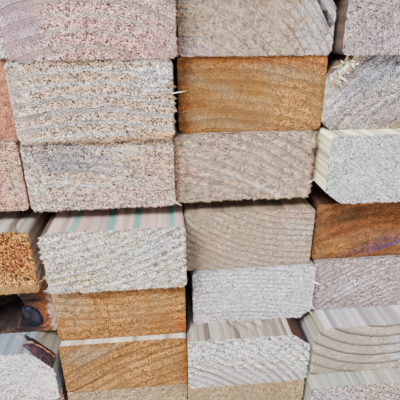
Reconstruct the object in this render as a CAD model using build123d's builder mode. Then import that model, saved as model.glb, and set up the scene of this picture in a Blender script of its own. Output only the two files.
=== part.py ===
from build123d import *
import os

# Bundle of planed pine studs, lying on its wide faces.
# Eight layers of six studs, tied across half way up with thin laths and bound with three steel straps.
# +Y runs along the studs, away from the end that is looked at. +X is to the right of that end, +Z is up.
# The origin is on the floor under the middle of the bundle. Sizes are in millimetres.

# Stud: dry, planed and regularised framing timber with its four long edges eased.
stud_width = 90.0
stud_thickness = 45.0
stud_length = 2400.0
arris_radius = 3.0

# Stack.
studs_per_layer = 6
layers = 8
side_play = 20.0
lath_layer = 4

# Tie laths: sawn strips laid across the stack on top of layer 4, in line with the straps.
lath_thickness = 9.0
lath_width = 38.0
lath_end_setback = 3.0

# Straps: cold-rolled steel band, drawn round the bundle and crimped on top.
strap_width = 19.0
strap_thickness = 0.8
strap_end_distance = 420.0
strap_tail_overlap = 70.0
strap_tail_from_middle = 150.0

# Seal: a folded steel clip round both thicknesses of strap, with two crimps bitten into each edge.
seal_length = 32.0
seal_wall = 1.0
seal_side_clearance = 0.2
crimp_width = 4.0
crimp_depth = 0.6
crimp_height = 1.0
crimp_spacing = 14.0

# How each layer shares its side play, from left to right: the setback of stud a from the strap line,
# the five gaps between the studs, and the setback of stud f. The outer layers carry the straps.
play_shares = {
    8: (0.0, 4.0, 4.5, 3.0, 2.5, 6.0, 0.0),
    7: (3.0, 3.5, 3.0, 1.5, 3.5, 2.5, 3.0),
    6: (2.0, 2.5, 2.5, 3.0, 0.5, 5.5, 4.0),
    5: (2.0, 2.0, 2.0, 0.5, 4.5, 5.0, 4.0),
    4: (2.0, 3.0, 6.5, 0.5, 3.5, 2.5, 2.0),
    3: (3.0, 4.0, 3.5, 6.0, 1.5, 1.0, 1.0),
    2: (3.0, 3.5, 4.0, 0.5, 4.5, 2.5, 2.0),
    1: (0.0, 5.0, 5.0, 0.5, 3.0, 6.5, 0.0),
}

# How far each stud's near end stands out of the mean end of the bundle, from stud a to stud f.
end_reveals = {
    8: (-6.0, 4.0, -3.0, 2.0, -8.0, 5.0),
    7: (-4.0, -12.0, 1.0, -10.0, -3.0, 3.0),
    6: (2.0, -14.0, 0.0, -12.0, -8.0, -5.0),
    5: (-7.0, -5.0, -3.0, -8.0, 6.0, -2.0),
    4: (3.0, 7.0, 10.0, -8.0, -14.0, -4.0),
    3: (-9.0, -8.0, 4.0, -5.0, -11.0, 2.0),
    2: (5.0, 14.0, 9.0, 14.0, 10.0, -3.0),
    1: (-2.0, 2.0, 8.0, 14.0, 23.0, 4.0),
}

# Wane: long edges where the round outside of the log cuts the corner off. Each has its corner (side, up or
# down), its legs across the width and the thickness at the near end, and the length over which it runs out.
wanes = {
    "7d": [(1, 1, 17.0, 20.0, 900.0)],
    "6e": [(-1, 1, 13.0, 12.0, 260.0), (-1, -1, 5.0, 4.5, 700.0)],
    "5e": [(-1, -1, 12.0, 9.0, 1100.0)],
    "4c": [(-1, 1, 5.0, 4.0, 420.0)],
    "3d": [(1, -1, 7.0, 6.0, 160.0)],
    "2b": [(1, 1, 15.0, 14.5, 800.0)],
    "2d": [(1, 1, 14.0, 11.0, 700.0)],
    "2e": [(-1, 1, 7.0, 8.0, 520.0)],
}
log_radius = 110.0
cut_overrun = 2.0

# Knot hole: where a dead branch has dropped out of the sawn end of one stud.
knot_hole_stud = "3b"
knot_hole_width = 30.0
knot_hole_height = 38.0
knot_hole_depth = 26.0
knot_hole_end_share = 0.7
knot_hole_from_edge = 35.0
knot_hole_above_middle = -1.5

# Worked out from the sizes above.
half_width = (studs_per_layer * stud_width + side_play) / 2
stack_base = strap_thickness
stack_top = stack_base + layers * stud_thickness + lath_thickness
reveal_values = [value for row in end_reveals.values() for value in row]
mean_end = -stud_length / 2 + (min(reveal_values) + max(reveal_values)) / 2
strap_stations = {
    "near": -stud_length / 2 + strap_end_distance,
    "middle": 0.0,
    "far": stud_length / 2 - strap_end_distance,
}


def layer_base(layer):
    """Height of the underside of a layer, counted from 1 at the bottom."""
    lath = lath_thickness if layer > lath_layer else 0.0
    return stack_base + (layer - 1) * stud_thickness + lath


def stud_centre_x(layer, column):
    """Middle of a stud across the bundle, with its layer's side play shared out."""
    shares = play_shares[layer]
    play_before = side_play * sum(shares[: column + 1]) / sum(shares)
    return -half_width + play_before + (column + 0.5) * stud_width


def log_outside(side, up, leg_x, leg_z, run_out):
    """Middle of the log seen in the stud's section, and how much its radius grows for each unit of length."""
    corner = Vector(side * stud_width / 2, up * stud_thickness / 2)
    on_face = corner - Vector(side * leg_x, 0)
    on_edge = corner - Vector(0, up * leg_z)
    inward = Vector(-side * leg_z, -up * leg_x).normalized()
    half_chord = (on_edge - on_face).length / 2
    pith = (on_face + on_edge) / 2 + inward * (log_radius**2 - half_chord**2) ** 0.5
    return pith, ((corner - pith).length - log_radius) / run_out


def make_stud(name, layer, column):
    near_end = mean_end - end_reveals[layer][column]
    middle = (stud_centre_x(layer, column), near_end, layer_base(layer) + stud_thickness / 2)
    end_plane = Plane(origin=middle, x_dir=(1, 0, 0), z_dir=(0, -1, 0))
    with BuildPart() as stud:
        with BuildSketch(end_plane) as section:
            Rectangle(stud_width, stud_thickness)
            fillet(section.vertices(), arris_radius)
        extrude(amount=-stud_length)
        for side, up, leg_x, leg_z, run_out in wanes.get(name, []):
            pith, widening = log_outside(side, up, leg_x, leg_z, run_out)
            before_end = Vector(middle) + Vector(pith.X, -cut_overrun, pith.Y)
            log_length = stud_length + 2 * cut_overrun
            start_radius = log_radius - widening * cut_overrun
            with Locations(Plane(origin=before_end, x_dir=(1, 0, 0), z_dir=(0, 1, 0))):
                Cone(start_radius, start_radius + widening * log_length, log_length,
                     align=(Align.CENTER, Align.CENTER, Align.MIN), mode=Mode.INTERSECT)
        if name == knot_hole_stud:
            for along, share in ((-cut_overrun, 1.0), (knot_hole_depth, knot_hole_end_share)):
                with BuildSketch(end_plane.offset(-along)):
                    with Locations((stud_width / 2 - knot_hole_from_edge, knot_hole_above_middle)):
                        Ellipse(knot_hole_width / 2 * share, knot_hole_height / 2 * share)
            loft(mode=Mode.SUBTRACT)
    return stud.part


def make_lath(station):
    bed = Plane.XY.offset(layer_base(lath_layer) + stud_thickness)
    with BuildPart() as lath:
        with BuildSketch(bed):
            with Locations((0, station)):
                Rectangle(2 * (half_width - lath_end_setback), lath_width)
        extrude(amount=lath_thickness)
    return lath.part


def make_strap(station):
    """Closed band round the bundle, with its free tail lying on top of it past the seal."""
    face = Plane(origin=(0, station - strap_width / 2, stack_top / 2 + stack_base / 2),
                 x_dir=(1, 0, 0), z_dir=(0, -1, 0))
    inner_width = 2 * half_width
    inner_height = stack_top - stack_base
    outer_radius = arris_radius + strap_thickness
    with BuildPart() as strap:
        with BuildSketch(face):
            RectangleRounded(inner_width + 2 * strap_thickness, inner_height + 2 * strap_thickness, outer_radius)
            RectangleRounded(inner_width, inner_height, arris_radius, mode=Mode.SUBTRACT)
        extrude(amount=-strap_width)
        with BuildSketch(Plane.XY.offset(stack_top + strap_thickness)):
            with Locations((strap_tail_from_middle, station)):
                Rectangle(strap_tail_overlap, strap_width)
        extrude(amount=strap_thickness)
    return strap.part


def make_seal(station):
    """Folded clip over the two thicknesses of strap, standing on the wood each side of them."""
    inside_width = strap_width + 2 * seal_side_clearance
    inside_height = 2 * strap_thickness
    outside_width = inside_width + 2 * seal_wall
    outside_height = inside_height + seal_wall
    across = Plane(origin=(strap_tail_from_middle - seal_length / 2, station, stack_top),
                   x_dir=(0, 1, 0), z_dir=(1, 0, 0))
    with BuildPart() as seal:
        with BuildSketch(across):
            Rectangle(outside_width, outside_height, align=(Align.CENTER, Align.MIN))
            Rectangle(inside_width, inside_height, align=(Align.CENTER, Align.MIN), mode=Mode.SUBTRACT)
        extrude(amount=seal_length)
        top_edges = seal.faces().sort_by(Axis.Z)[-1].edges().filter_by(Axis.X)
        fillet(top_edges, seal_wall * 0.8)
        crimp_bed = Plane(origin=(strap_tail_from_middle, station, stack_top), x_dir=(1, 0, 0), z_dir=(0, 0, 1))
        with BuildSketch(crimp_bed):
            with GridLocations(crimp_spacing, outside_width, 2, 2):
                Rectangle(crimp_width, 2 * crimp_depth)
        extrude(amount=crimp_height, mode=Mode.SUBTRACT)
    return seal.part


def write(part, name):
    part.label = name
    export_step(part, f"parts/{name}.step")


os.makedirs("parts", exist_ok=True)
for layer in range(1, layers + 1):
    for column in range(studs_per_layer):
        name = f"{layer}{'abcdef'[column]}"
        write(make_stud(name, layer, column), f"stud_{name}")
for place, station in strap_stations.items():
    write(make_lath(station), f"tie_lath_{place}")
    write(make_strap(station), f"strap_{place}")
    write(make_seal(station), f"strap_seal_{place}")
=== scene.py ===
# %% [markdown]
# # A bundle of weathered pine studs
# Eight layers of six planed studs lie on their wide faces, tied across half way up with thin laths and
# bound with three steel straps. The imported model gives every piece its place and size. This lesson gives
# them their looks: saw-cut ends with growth rings and torn fibres, planed faces with long grain, and steel.

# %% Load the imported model
import math
import bmesh
import bpy
import numpy as np
from mathutils import Matrix, Vector


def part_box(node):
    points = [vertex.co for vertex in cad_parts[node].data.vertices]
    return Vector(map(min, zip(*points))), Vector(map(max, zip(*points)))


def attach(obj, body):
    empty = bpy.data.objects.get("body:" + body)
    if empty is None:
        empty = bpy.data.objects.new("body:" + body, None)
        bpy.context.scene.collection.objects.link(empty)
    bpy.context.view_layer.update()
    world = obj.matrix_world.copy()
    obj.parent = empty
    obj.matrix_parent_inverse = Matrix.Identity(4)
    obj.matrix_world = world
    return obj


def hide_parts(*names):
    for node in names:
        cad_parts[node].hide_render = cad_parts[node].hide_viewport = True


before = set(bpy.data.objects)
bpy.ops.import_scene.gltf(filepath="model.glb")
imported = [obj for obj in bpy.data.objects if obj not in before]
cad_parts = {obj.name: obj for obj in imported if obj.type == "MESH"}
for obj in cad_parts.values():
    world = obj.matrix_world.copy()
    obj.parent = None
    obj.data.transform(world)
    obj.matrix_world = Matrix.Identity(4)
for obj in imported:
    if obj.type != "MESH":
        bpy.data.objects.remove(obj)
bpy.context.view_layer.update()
MM = 0.001
stud_names = sorted(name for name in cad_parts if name.startswith("stud_"))

# %% [markdown]
# ## Where the camera stands
# The photograph was taken by hand, about 23 cm from the sawn ends and level with the second row down.
# The camera looks down by 24 degrees, so the lower rows show strips of their upper faces. A lens with a
# slightly wide view gives the strong convergence. The camera's axes are worked out from pitch, turn and roll.

# %% Camera
EYE = Vector((-8.9, -1429.3, 297.5)) * MM
PITCH, TURN, ROLL = (math.radians(angle) for angle in (23.71, 5.03, -0.4))
SENSOR_MM = 36.0
FOCAL_SHARE = 1.0076

ahead = Vector((math.sin(TURN) * math.cos(PITCH), math.cos(TURN) * math.cos(PITCH), -math.sin(PITCH)))
level = Vector((math.cos(TURN), -math.sin(TURN), 0))
upward = level.cross(ahead)
right = math.cos(ROLL) * level + math.sin(ROLL) * upward
top = -math.sin(ROLL) * level + math.cos(ROLL) * upward

camera = bpy.data.objects.new("camera", bpy.data.cameras.new("camera"))
bpy.context.collection.objects.link(camera)
camera.data.sensor_width = SENSOR_MM
camera.data.lens = SENSOR_MM * FOCAL_SHARE
camera.data.clip_start = 0.01
camera.matrix_world = Matrix.Translation(EYE) @ Matrix((right, top, -ahead)).transposed().to_4x4()
bpy.context.scene.camera = camera
print("lens:", round(camera.data.lens, 2), "mm")

# %% [markdown]
# ## Colour and node helpers
# Colours are picked as sRGB hex values, the way a paint card gives them, and one function turns them to
# the linear values that the shaders need. One small function adds a node with its settings and links. A tree
# could be drawn in the node editor, but written out it can be read, changed and made again.

# %% Helpers for colours and nodes
from functools import partial


def linear(hex_colour):
    """sRGB hex colour as a linear RGBA tuple."""
    channels = [int(hex_colour[i:i + 2], 16) / 255 for i in (1, 3, 5)]
    return tuple(c / 12.92 if c <= 0.04045 else ((c + 0.055) / 1.055) ** 2.4 for c in channels) + (1.0,)


def add_node(tree, kind, inputs=None, **settings):
    """Adds a node with its settings. Each input gets a value, or a link from a socket or a node's output."""
    node = tree.nodes.new(kind)
    for name, value in settings.items():
        setattr(node, name, value)
    for key, value in (inputs or {}).items():
        if isinstance(value, bpy.types.Node):
            value = next(socket for socket in value.outputs if socket.enabled)
        if isinstance(value, bpy.types.NodeSocket):
            tree.links.new(value, node.inputs[key])
        else:
            node.inputs[key].default_value = value
    return node


def new_material(name):
    """A new material without nodes, and the function that adds nodes to it."""
    material = bpy.data.materials.new(name)
    material.use_nodes = True
    material.node_tree.nodes.clear()
    return material, partial(add_node, material.node_tree)


print("linear value of mid grey:", round(linear("#808080")[0], 3))

# %% [markdown]
# ## Smooth noise for shapes
# Sawn ends are never flat, and their relief has to be real geometry because a low sun or a close camera
# shows it. Noise on a small table of random numbers is fast in numpy and always gives the same result. Each
# use adds a step of its own to the stud's seed, so no two patterns are alike.

# %% Noise and blending
NOISE_TABLE, NOISE_START = 61, (7.3, 5.1)


def value_noise(x, z, cell, seed):
    """Smooth noise from 0 to 1 whose lumps are about one cell wide, in millimetres."""
    table = np.random.RandomState(seed).rand(NOISE_TABLE, NOISE_TABLE)
    grid_x, grid_z = x / cell + NOISE_START[0], z / cell + NOISE_START[1]
    ix, iz = np.floor(grid_x).astype(int), np.floor(grid_z).astype(int)
    fx, fz = grid_x - ix, grid_z - iz
    fx, fz = fx * fx * (3 - 2 * fx), fz * fz * (3 - 2 * fz)
    ix, iz, next_x, next_z = (index % NOISE_TABLE for index in (ix, iz, ix + 1, iz + 1))
    low = table[ix, iz] * (1 - fx) + table[next_x, iz] * fx
    high = table[ix, next_z] * (1 - fx) + table[next_x, next_z] * fx
    return low * (1 - fz) + high * fz


def smooth_step(value, start, end):
    """0 before start, 1 after end, smooth between them. Start may be the larger one."""
    t = np.clip((value - start) / (end - start), 0, 1)
    return t * t * (3 - 2 * t)


print("noise over 10 cells:", np.round(value_noise(np.arange(10.0), np.zeros(10), 1.0, 1), 2))


# %% [markdown]
# ## Tones of the wood
# Weathered pine runs from milk white, where the sun has bleached it, through rose, sand and silver grey, to
# honey and treacle where resin has soaked it. A palette of named tones, mixed like a box of wood stains,
# keeps the studs in one family. Every end takes its tones from it by name, and so do its stains.

# %% Palette of wood tones
WOODS = {
    "pearl": "#C0BCC0", "milk": "#D0C8B8", "cream": "#F0E8C8", "shell": "#C0A8A0", "ash": "#B0B0A8",
    "cloud": "#A0A8B0", "silver": "#A8A098", "linen": "#A0988C", "oat": "#A8988C", "rose": "#A08480",
    "lilac": "#A09098", "blush": "#A08074", "salmon": "#98705C", "sand": "#A09080", "fawn": "#988878",
    "dove": "#908884", "biscuit": "#908068", "straw": "#A89878", "olive": "#808074",
    "steel": "#848C98", "slate": "#606870", "honey": "#88683C", "amber": "#785430", "tan": "#A08050",
    "apricot": "#A07458", "rust": "#804C20", "orange": "#98541C", "treacle": "#503410", "chestnut": "#643818",
    "brick": "#805040", "walnut": "#6C5040", "umber": "#583C30", "taupe": "#706058", "violet": "#504070",
    # The near-black last tone is painted shade: it fills the knot hole of stud 3b and the crack under the
    # bark of 2b.
    "bark": "#38242C", "painted_shade_black": "#0C080C",
}
TORN_STEPS = {"clean": 0.4, "fine": 0.8, "furry": 1.3, "torn": 1.9}


def wood(tone):
    """A tone of the palette as a linear RGBA array."""
    return np.array(linear(WOODS[tone]))


print("wood tones:", len(WOODS))

# %% [markdown]
# ## How each stud looks
# Every stud has its own tree behind it, so each end has its own rings, tone and roughness. The pith is the
# centre of the tree's rings, given in millimetres from the middle of the stud's end. The gap is the width
# of one year's growth, line the share of it that is summer wood, and rings how strongly it shows. Light is
# the soft spring wood and dark the hard summer wood. Rough is one of four steps, from a clean cut to a torn
# one, fuzz says how far fibres stand out, fleck how large the tufts are, tear which way the blade went, in
# degrees, and ragged how far the end frays past its left, right, upper and lower edges.
# A patch is a soft stain: its middle, its two radii, its slope, its tone and its strength; the near-black
# patch in the knot hole of stud 3b is painted shade. A smooth place is one that the blade left clean, given
# the same way. A crack is a bent line through three points, with its width and its tone. Sides and stripes
# are the tone and the streaks of the planed faces.
# The looks could be drawn at random, but then no end would be like the one in the photograph, so each end
# in view has a look given one by one, and only the others are drawn.

# %% Looks of the upper two layers in view
UPPER_LOOKS = {
    "7c": dict(light="rose", dark="shell", fleck=0.7, pith=(-6, -100), gap=7.8, rings=0.9, line=0.35,
               rough="furry", fuzz=0.8, tear=-35, ragged=(0.1, 0.6, 0.1, 0.3),
               patches=[(-38, 4, 17, 40, 0, "lilac", 0.7), (32, 14, 24, 18, 0, "oat", 0.6),
                        (14, -16, 26, 6, -0.1, "blush", 0.4)],
               smooth=[(-40, -4, 22, 30, 0.6)]),
    "7d": dict(light="fawn", dark="silver", fleck=0.5, pith=(-48, -72), gap=4.4, rings=1.0,
               rough="torn", fuzz=0.5, tear=-40, ragged=(0.3, 0.1, 0.1, 0.2),
               patches=[(42, 4, 18, 40, 0, "cloud", 0.5), (-40, -20, 14, 7, 0, "lilac", 0.5)],
               smooth=[(42, 0, 16, 40, 0.4)],
               cracks=[((31, 11), (35, 5), (40.5, -3), 1.2, "bark"),
                       ((39, 0), (41.5, -5), (43, -7), 2, "bark"),
                       ((-44, 1), (-36, -6), (-24, -14), 0.4, "umber"),
                       ((-10, 14), (10, 2), (30, -20), 0.4, "umber")]),
    # The dark taupe planed faces of 7e are painted shade, for its side face deep in the gap beside it.
    "7e": dict(light="dove", dark="taupe", fleck=0.5, pith=(-120, -30), gap=3.2, rings=0.3,
               rough="torn", fuzz=0.6, tear=-20, ragged=(0.3, 0.1, 0.1, 0.1),
               patches=[(-22, -16, 28, 11, 0, "lilac", 0.4)], sides="taupe"),
    "6b": dict(light="salmon", dark="apricot", fleck=0.6, pith=(0, -140), gap=6, rings=0.4,
               rough="fine", fuzz=0.3, ragged=(0, 0.1, 0, 0)),
    "6c": dict(light="fawn", dark="pearl", fleck=0.8, pith=(-2, -190), gap=7.2, rings=0.9, line=0.35,
               rough="torn", fuzz=1.0, tear=-32, ragged=(0.1, 1.0, 0.2, 0.9),
               patches=[(-43, -8, 13, 26, 0.3, "shell", 0.7), (32, -22, 22, 3.5, 0, "tan", 0.6),
                        (-6, -4, 30, 10, 0.1, "dove", 0.5), (36, 14, 14, 10, 0, "pearl", 0.5)],
               smooth=[(-43, -6, 12, 26, 0.6), (38, 16, 12, 8, 0.4)]),
    "6d": dict(light="honey", dark="amber", fleck=0.6, pith=(-20, -170), gap=6, rings=0.5, line=0.4,
               rough="fine", fuzz=0, ragged=(0.1, 0, 0, 0.7),
               patches=[(26, -4, 22, 18, 0, "tan", 0.5), (-10, 21, 60, 4, -0.05, "orange", 0.4),
                        (20, 12, 18, 5, -0.15, "biscuit", 0.5), (-43, 2, 6, 30, 0, "rust", 0.6),
                        (0, -6, 30, 6, -0.2, "tan", 0.3), (-18, 3, 30, 3, -0.35, "biscuit", 0.4),
                        (-24, -7, 26, 2.5, -0.2, "amber", 0.4), (-22, -16, 22, 4, -0.2, "biscuit", 0.5)],
               smooth=[(-14, -4, 34, 18, 0.6)],
               cracks=[((-1, 16), (-5, 6), (-8, -4), 0.25, "rust"),
                       ((-9, 3), (-16, -1), (-22, -5), 0.2, "walnut"),
                       ((-33, -7), (-35, -11), (-37, -15), 0.25, "rust")]),
    "6e": dict(light="dove", dark="steel", fleck=0.8, pith=(60, -100), gap=5.8, rings=0.7, line=0.35,
               rough="furry", fuzz=0.7, tear=35, ragged=(0.4, 0, 0.2, 0.1),
               patches=[(18, -15, 40, 12, 0.4, "biscuit", 0.6), (-42, -6, 4, 16, 0, "milk", 0.5),
                        (-10, 12, 22, 9, 0.4, "steel", 0.5)],
               smooth=[(-42, -6, 3, 14, 0.5)], sides="milk"),
}

# %% Looks of the middle layers in view
MIDDLE_LOOKS = {
    "5b": dict(light="blush", dark="rose", fleck=0.6, pith=(-30, -150), gap=5, rings=0.3,
               rough="furry", fuzz=0.7, tear=-20, ragged=(0, 0.1, 0, 0.2),
               patches=[(40, 0, 6, 30, 0, "sand", 0.6)]),
    "5c": dict(light="oat", dark="pearl", fleck=0.7, pith=(-25, -180), gap=5, rings=0.8, line=0.35,
               rough="torn", fuzz=0.8, tear=-18, ragged=(0.2, 0.4, 0.1, 0.5),
               patches=[(-24, 10, 40, 11, -0.14, "slate", 0.6), (0, 22, 52, 3.5, 0, "biscuit", 0.7),
                        (27, 8, 20, 12, 0, "biscuit", 0.5), (-10, -1, 26, 2.5, -0.2, "tan", 0.4),
                        (-4, -15, 54, 8, 0, "rose", 0.6), (36, -4, 12, 18, 0, "apricot", 0.3)],
               smooth=[(-25, 11, 34, 8, 0.3)]),
    "5d": dict(light="fawn", dark="dove", fleck=0.7, pith=(-70, -155), gap=6, rings=1.0, line=0.4,
               rough="torn", fuzz=0.9, tear=-25, ragged=(0.1, 1.6, 0.1, 0.8),
               patches=[(-38, -12, 2.2, 12, 0, "olive", 0.6), (8, -13, 24, 1.8, -0.5, "pearl", 0.3),
                        (-40, 2, 8, 14, 0, "apricot", 0.3)]),
    # The cream planed faces of 5e are painted light, brightened for its side face where the light falls.
    "5e": dict(light="ash", dark="steel", fleck=0.5, pith=(70, 95), gap=3.0, rings=0.4,
               rough="torn", fuzz=0.5, ragged=(0.1, 0, 0, 0.3), patches=[(34, 4, 22, 22, 0, "cream", 0.6)],
               smooth=[(-38, -14, 10, 8, 0.5)], sides="cream", stripes=0.7, wane_tone="milk"),
    "4b": dict(light="honey", dark="chestnut", fleck=1.2, pith=(-30, 120), gap=6, rings=0.3, line=0.4,
               rough="torn", fuzz=0.6, cell=2.4, tear=-60, ragged=(0, 0.2, 0.5, 0.2),
               patches=[(20, -19, 50, 5.5, 0.05, "tan", 0.7), (34, 6, 16, 12, 0, "rust", 0.6)],
               smooth=[(20, -20, 50, 5, 0.9)], sides="silver"),
    "4c": dict(light="oat", dark="pearl", fleck=0.6, pith=(-72, 215), gap=5.2, rings=0.9, line=0.4,
               rough="torn", fuzz=0.6, tear=20, ragged=(1.0, 0.1, 0.2, 0.4),
               patches=[(-28, 13, 30, 10, 0.2, "shell", 0.9), (-22, -14, 20, 7, 0, "straw", 0.5),
                        (20, -12, 24, 8, 0.3, "shell", 0.5), (25, 6, 18, 7, 0.3, "cloud", 0.4)],
               cracks=[((24, -1), (34, 4), (43, 10), 0.6, "taupe"),
                       ((4, 5), (10, 0), (19, -2), 0.5, "taupe")],
               sides="shell", stripes=0.4),
    "4d": dict(light="fawn", dark="linen", fleck=0.5, pith=(42, 120), gap=4.4, rings=0.9, line=0.35,
               rough="fine", fuzz=0.5, tear=-15, ragged=(0.1, 0.1, 0.1, 0.1),
               patches=[(-42, 0, 8, 26, 0, "olive", 0.4), (-33, -4, 10, 12, 0, "blush", 0.3),
                        (30, 3, 18, 8, 0, "silver", 0.5), (25, 17, 20, 3, 0, "blush", 0.3)]),
    "4e": dict(light="amber", dark="treacle", fleck=0.6, pith=(10, -90), gap=7, rings=0.3, line=0.5,
               rough="fine", fuzz=0, tear=20,
               patches=[(2, -11, 22, 4, 0.35, "violet", 0.3), (20, -10, 22, 3, 0.35, "violet", 0.7),
                        (-30, -14, 16, 6, 0.1, "tan", 0.4), (-8, 6, 30, 5, 0.2, "rust", 0.3),
                        (-20, 12, 20, 4, 0.3, "treacle", 0.6)], sides="umber"),
}

# %% Looks of the lower layers in view
LOWER_LOOKS = {
    # The near-black patch over the knot hole of 3b is painted shade in the cavity.
    "3b": dict(light="walnut", dark="chestnut", pith=(30, -7), gap=3.4, rings=0.5, line=0.4, rough="clean",
               hole=(10, -1.5, 15, 19, 24),
               patches=[(37, -2, 5, 22, 0, "orange", 0.5), (43, -4, 3, 22, 0, "shell", 0.8),
                        (25, -4, 9, 20, 0, "bark", 0.9), (10, -1, 21, 27, 0, "painted_shade_black", 1.0)]),
    "3c": dict(light="honey", dark="rust", fleck=0.8, pith=(0, 300), gap=6, rings=0.5, line=0.4, rough="fine",
               fuzz=0.2, ragged=(0, 0, 0, 0.1),
               patches=[(41, -14, 5, 7, 0, "orange", 0.6), (4, 18, 45, 4, 0, "amber", 0.7),
                        (10, 0, 40, 12, 0.05, "tan", 0.5), (-36, 4, 12, 14, 0, "biscuit", 0.6)],
               cracks=[((-17, 12), (-17, 3), (-16, -4), 0.4, "walnut")]),
    "3d": dict(light="pearl", dark="cloud", fleck=0.6, pith=(-20, -250), gap=3.6, rings=0.9,
               rough="furry", fuzz=0.5, tear=-10, ragged=(0.1, 0.2, 0.1, 0.6),
               patches=[(-32, -16, 20, 10, 0, "shell", 0.6), (-34, 10, 16, 14, 0, "oat", 0.4)]),
    "3e": dict(light="dove", dark="lilac", fleck=0.7, pith=(90, -190), gap=4.2, rings=0.9, line=0.4,
               rough="furry", fuzz=0.7, tear=28, ragged=(0.2, 0, 0, 0.1),
               patches=[(-10, 0, 20, 6, 0.4, "pearl", 0.4)]),
    "2b": dict(light="pearl", dark="shell", fleck=0.6, pith=(-30, -200), gap=5, rings=0.5,
               rough="furry", fuzz=0.5, ragged=(0, 0.1, 0.2, 0),
               patches=[(40, -8, 6, 22, 0, "cream", 0.6), (10, -14, 30, 10, 0, "shell", 0.8)],
               sides="steel", stripes=0.5, wane_tone="linen"),
    "2c": dict(light="honey", dark="amber", fleck=0.7, pith=(100, -210), gap=7.6, rings=0.7, line=0.25,
               rough="fine", fuzz=0.2, tear=22, ragged=(0, 0, 0.1, 0),
               patches=[(43, 2, 3, 26, 0, "rust", 0.6), (-26, 12, 20, 8, 0.3, "biscuit", 0.6),
                        (8, -4, 36, 12, 0.35, "tan", 0.5)],
               cracks=[((-43, -23), (-10, -6), (20, 8), 0.8, "rust"),
                       ((20, 8), (32, 13), (42, 15), 0.5, "rust")],
               sides="milk", stripes=0.4),
    "2d": dict(light="ash", dark="taupe", fleck=0.9, pith=(-95, -125), gap=5.2, rings=0.8, line=0.4,
               rough="torn", fuzz=0.9, ragged=(0.1, 0.5, 0.3, 0.1), smooth=[(0, -16, 60, 11, 0.8)],
               patches=[(0, 12, 60, 9, 0, "pearl", 0.7), (0, -14, 60, 8, 0, "pearl", 0.3)],
               sides="silver", stripes=0.8, wane_tone="umber"),
    "2e": dict(light="linen", dark="taupe", fleck=0.6, pith=(10, 92), gap=9.0, rings=1.0, line=0.25,
               rough="fine", fuzz=0.3, ragged=(0, 0, 0.1, 0), patches=[(36, -4, 20, 22, 0, "cloud", 0.5)],
               smooth=[(-20, 0, 30, 30, 0.6)], sides="pearl", stripes=0.4, wane_tone="linen"),
    "1c": dict(light="biscuit", dark="taupe", pith=(0, -160), gap=5, rings=0.3, rough="fine", fuzz=0.4),
    "1d": dict(light="biscuit", dark="tan", pith=(-40, -160), gap=5, rings=0.3, rough="fine", fuzz=0.4,
               tear=90),
    "1e": dict(light="dove", dark="walnut", pith=(70, 120), gap=5, rings=0.5, rough="furry", fuzz=0.8,
               ragged=(0, 0, 0.2, 0), patches=[(-30, 0, 20, 20, 0, "cloud", 0.5)], sides="ash", stripes=0.4),
}
LOOKS = UPPER_LOOKS | MIDDLE_LOOKS | LOWER_LOOKS

# %% Looks of all other studs
OTHER_TONES = [("shell", "walnut"), ("sand", "walnut"), ("honey", "amber"), ("silver", "taupe"),
               ("blush", "walnut"), ("oat", "taupe")]
PLAIN_LOOK = dict(cell=1.3, fleck=0.8, rough="furry", tear=0, line=0.3, cracks=[], smooth=[], patches=[],
                  fuzz=0.2, stripes=0.6, wane_tone="taupe", ragged=(0, 0, 0, 0))


def look_of(name, order):
    """The look of a stud: its own, or one drawn at random for a stud that no look is given for."""
    if name in LOOKS:
        look = PLAIN_LOOK | dict(sides=LOOKS[name]["light"]) | LOOKS[name]
    else:
        draw = np.random.RandomState(400 + order)
        light, dark = OTHER_TONES[draw.randint(len(OTHER_TONES))]
        look = PLAIN_LOOK | dict(light=light, dark=dark, sides=light, pith=tuple(draw.uniform(-150, 150, 2)),
                                 gap=draw.uniform(4, 8), rings=draw.uniform(0.4, 0.8),
                                 fuzz=draw.uniform(0.3, 0.9), tear=draw.uniform(-40, 40),
                                 ragged=(0.2, 0.2, 0.2, 0.3))
    return look | dict(seed=order * 37 + 11)


print("studs with a look of their own:", len(LOOKS))

# %% [markdown]
# ## The section of a stud
# A planed stud is a rectangle with eased long edges. Where the log was too small, its round outside cuts a
# corner off, which is called wane. The log gets wider along the stud, so its wane runs out. Each row of the
# section runs between a left and a right limit, so the same rows and columns fit every section.

# %% Section of a stud
HALF_WIDTH, HALF_THICKNESS, EASE = 45.0, 22.5, 3.0
LOG_RADIUS = 110.0
WANES = {
    "7d": [(1, 1, 17, 20, 900)],
    "6e": [(-1, 1, 13, 12, 260), (-1, -1, 5, 4.5, 700)],
    "5e": [(-1, -1, 12, 9, 1100)],
    "4c": [(-1, 1, 5, 4, 420)],
    "3d": [(1, -1, 7, 6, 160)],
    "2b": [(1, 1, 15, 14.5, 800)],
    "2d": [(1, 1, 14, 11, 700)],
    "2e": [(-1, 1, 7, 8, 520)],
}


def log_outside(wane, along):
    """Middle of the log seen in the section, and its radius at a distance along the stud."""
    side, up, leg_x, leg_z, run_out = wane
    corner = np.array([side * HALF_WIDTH, up * HALF_THICKNESS])
    chord = np.array([side * leg_x, -up * leg_z])
    inward = -np.array([side * leg_z, up * leg_x]) / np.hypot(leg_x, leg_z)
    chord_middle = corner - (side * leg_x / 2, up * leg_z / 2)
    pith = chord_middle + inward * math.sqrt(LOG_RADIUS ** 2 - (np.linalg.norm(chord) / 2) ** 2)
    widening = (np.linalg.norm(corner - pith) - LOG_RADIUS) / run_out
    return pith, LOG_RADIUS + widening * along


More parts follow.
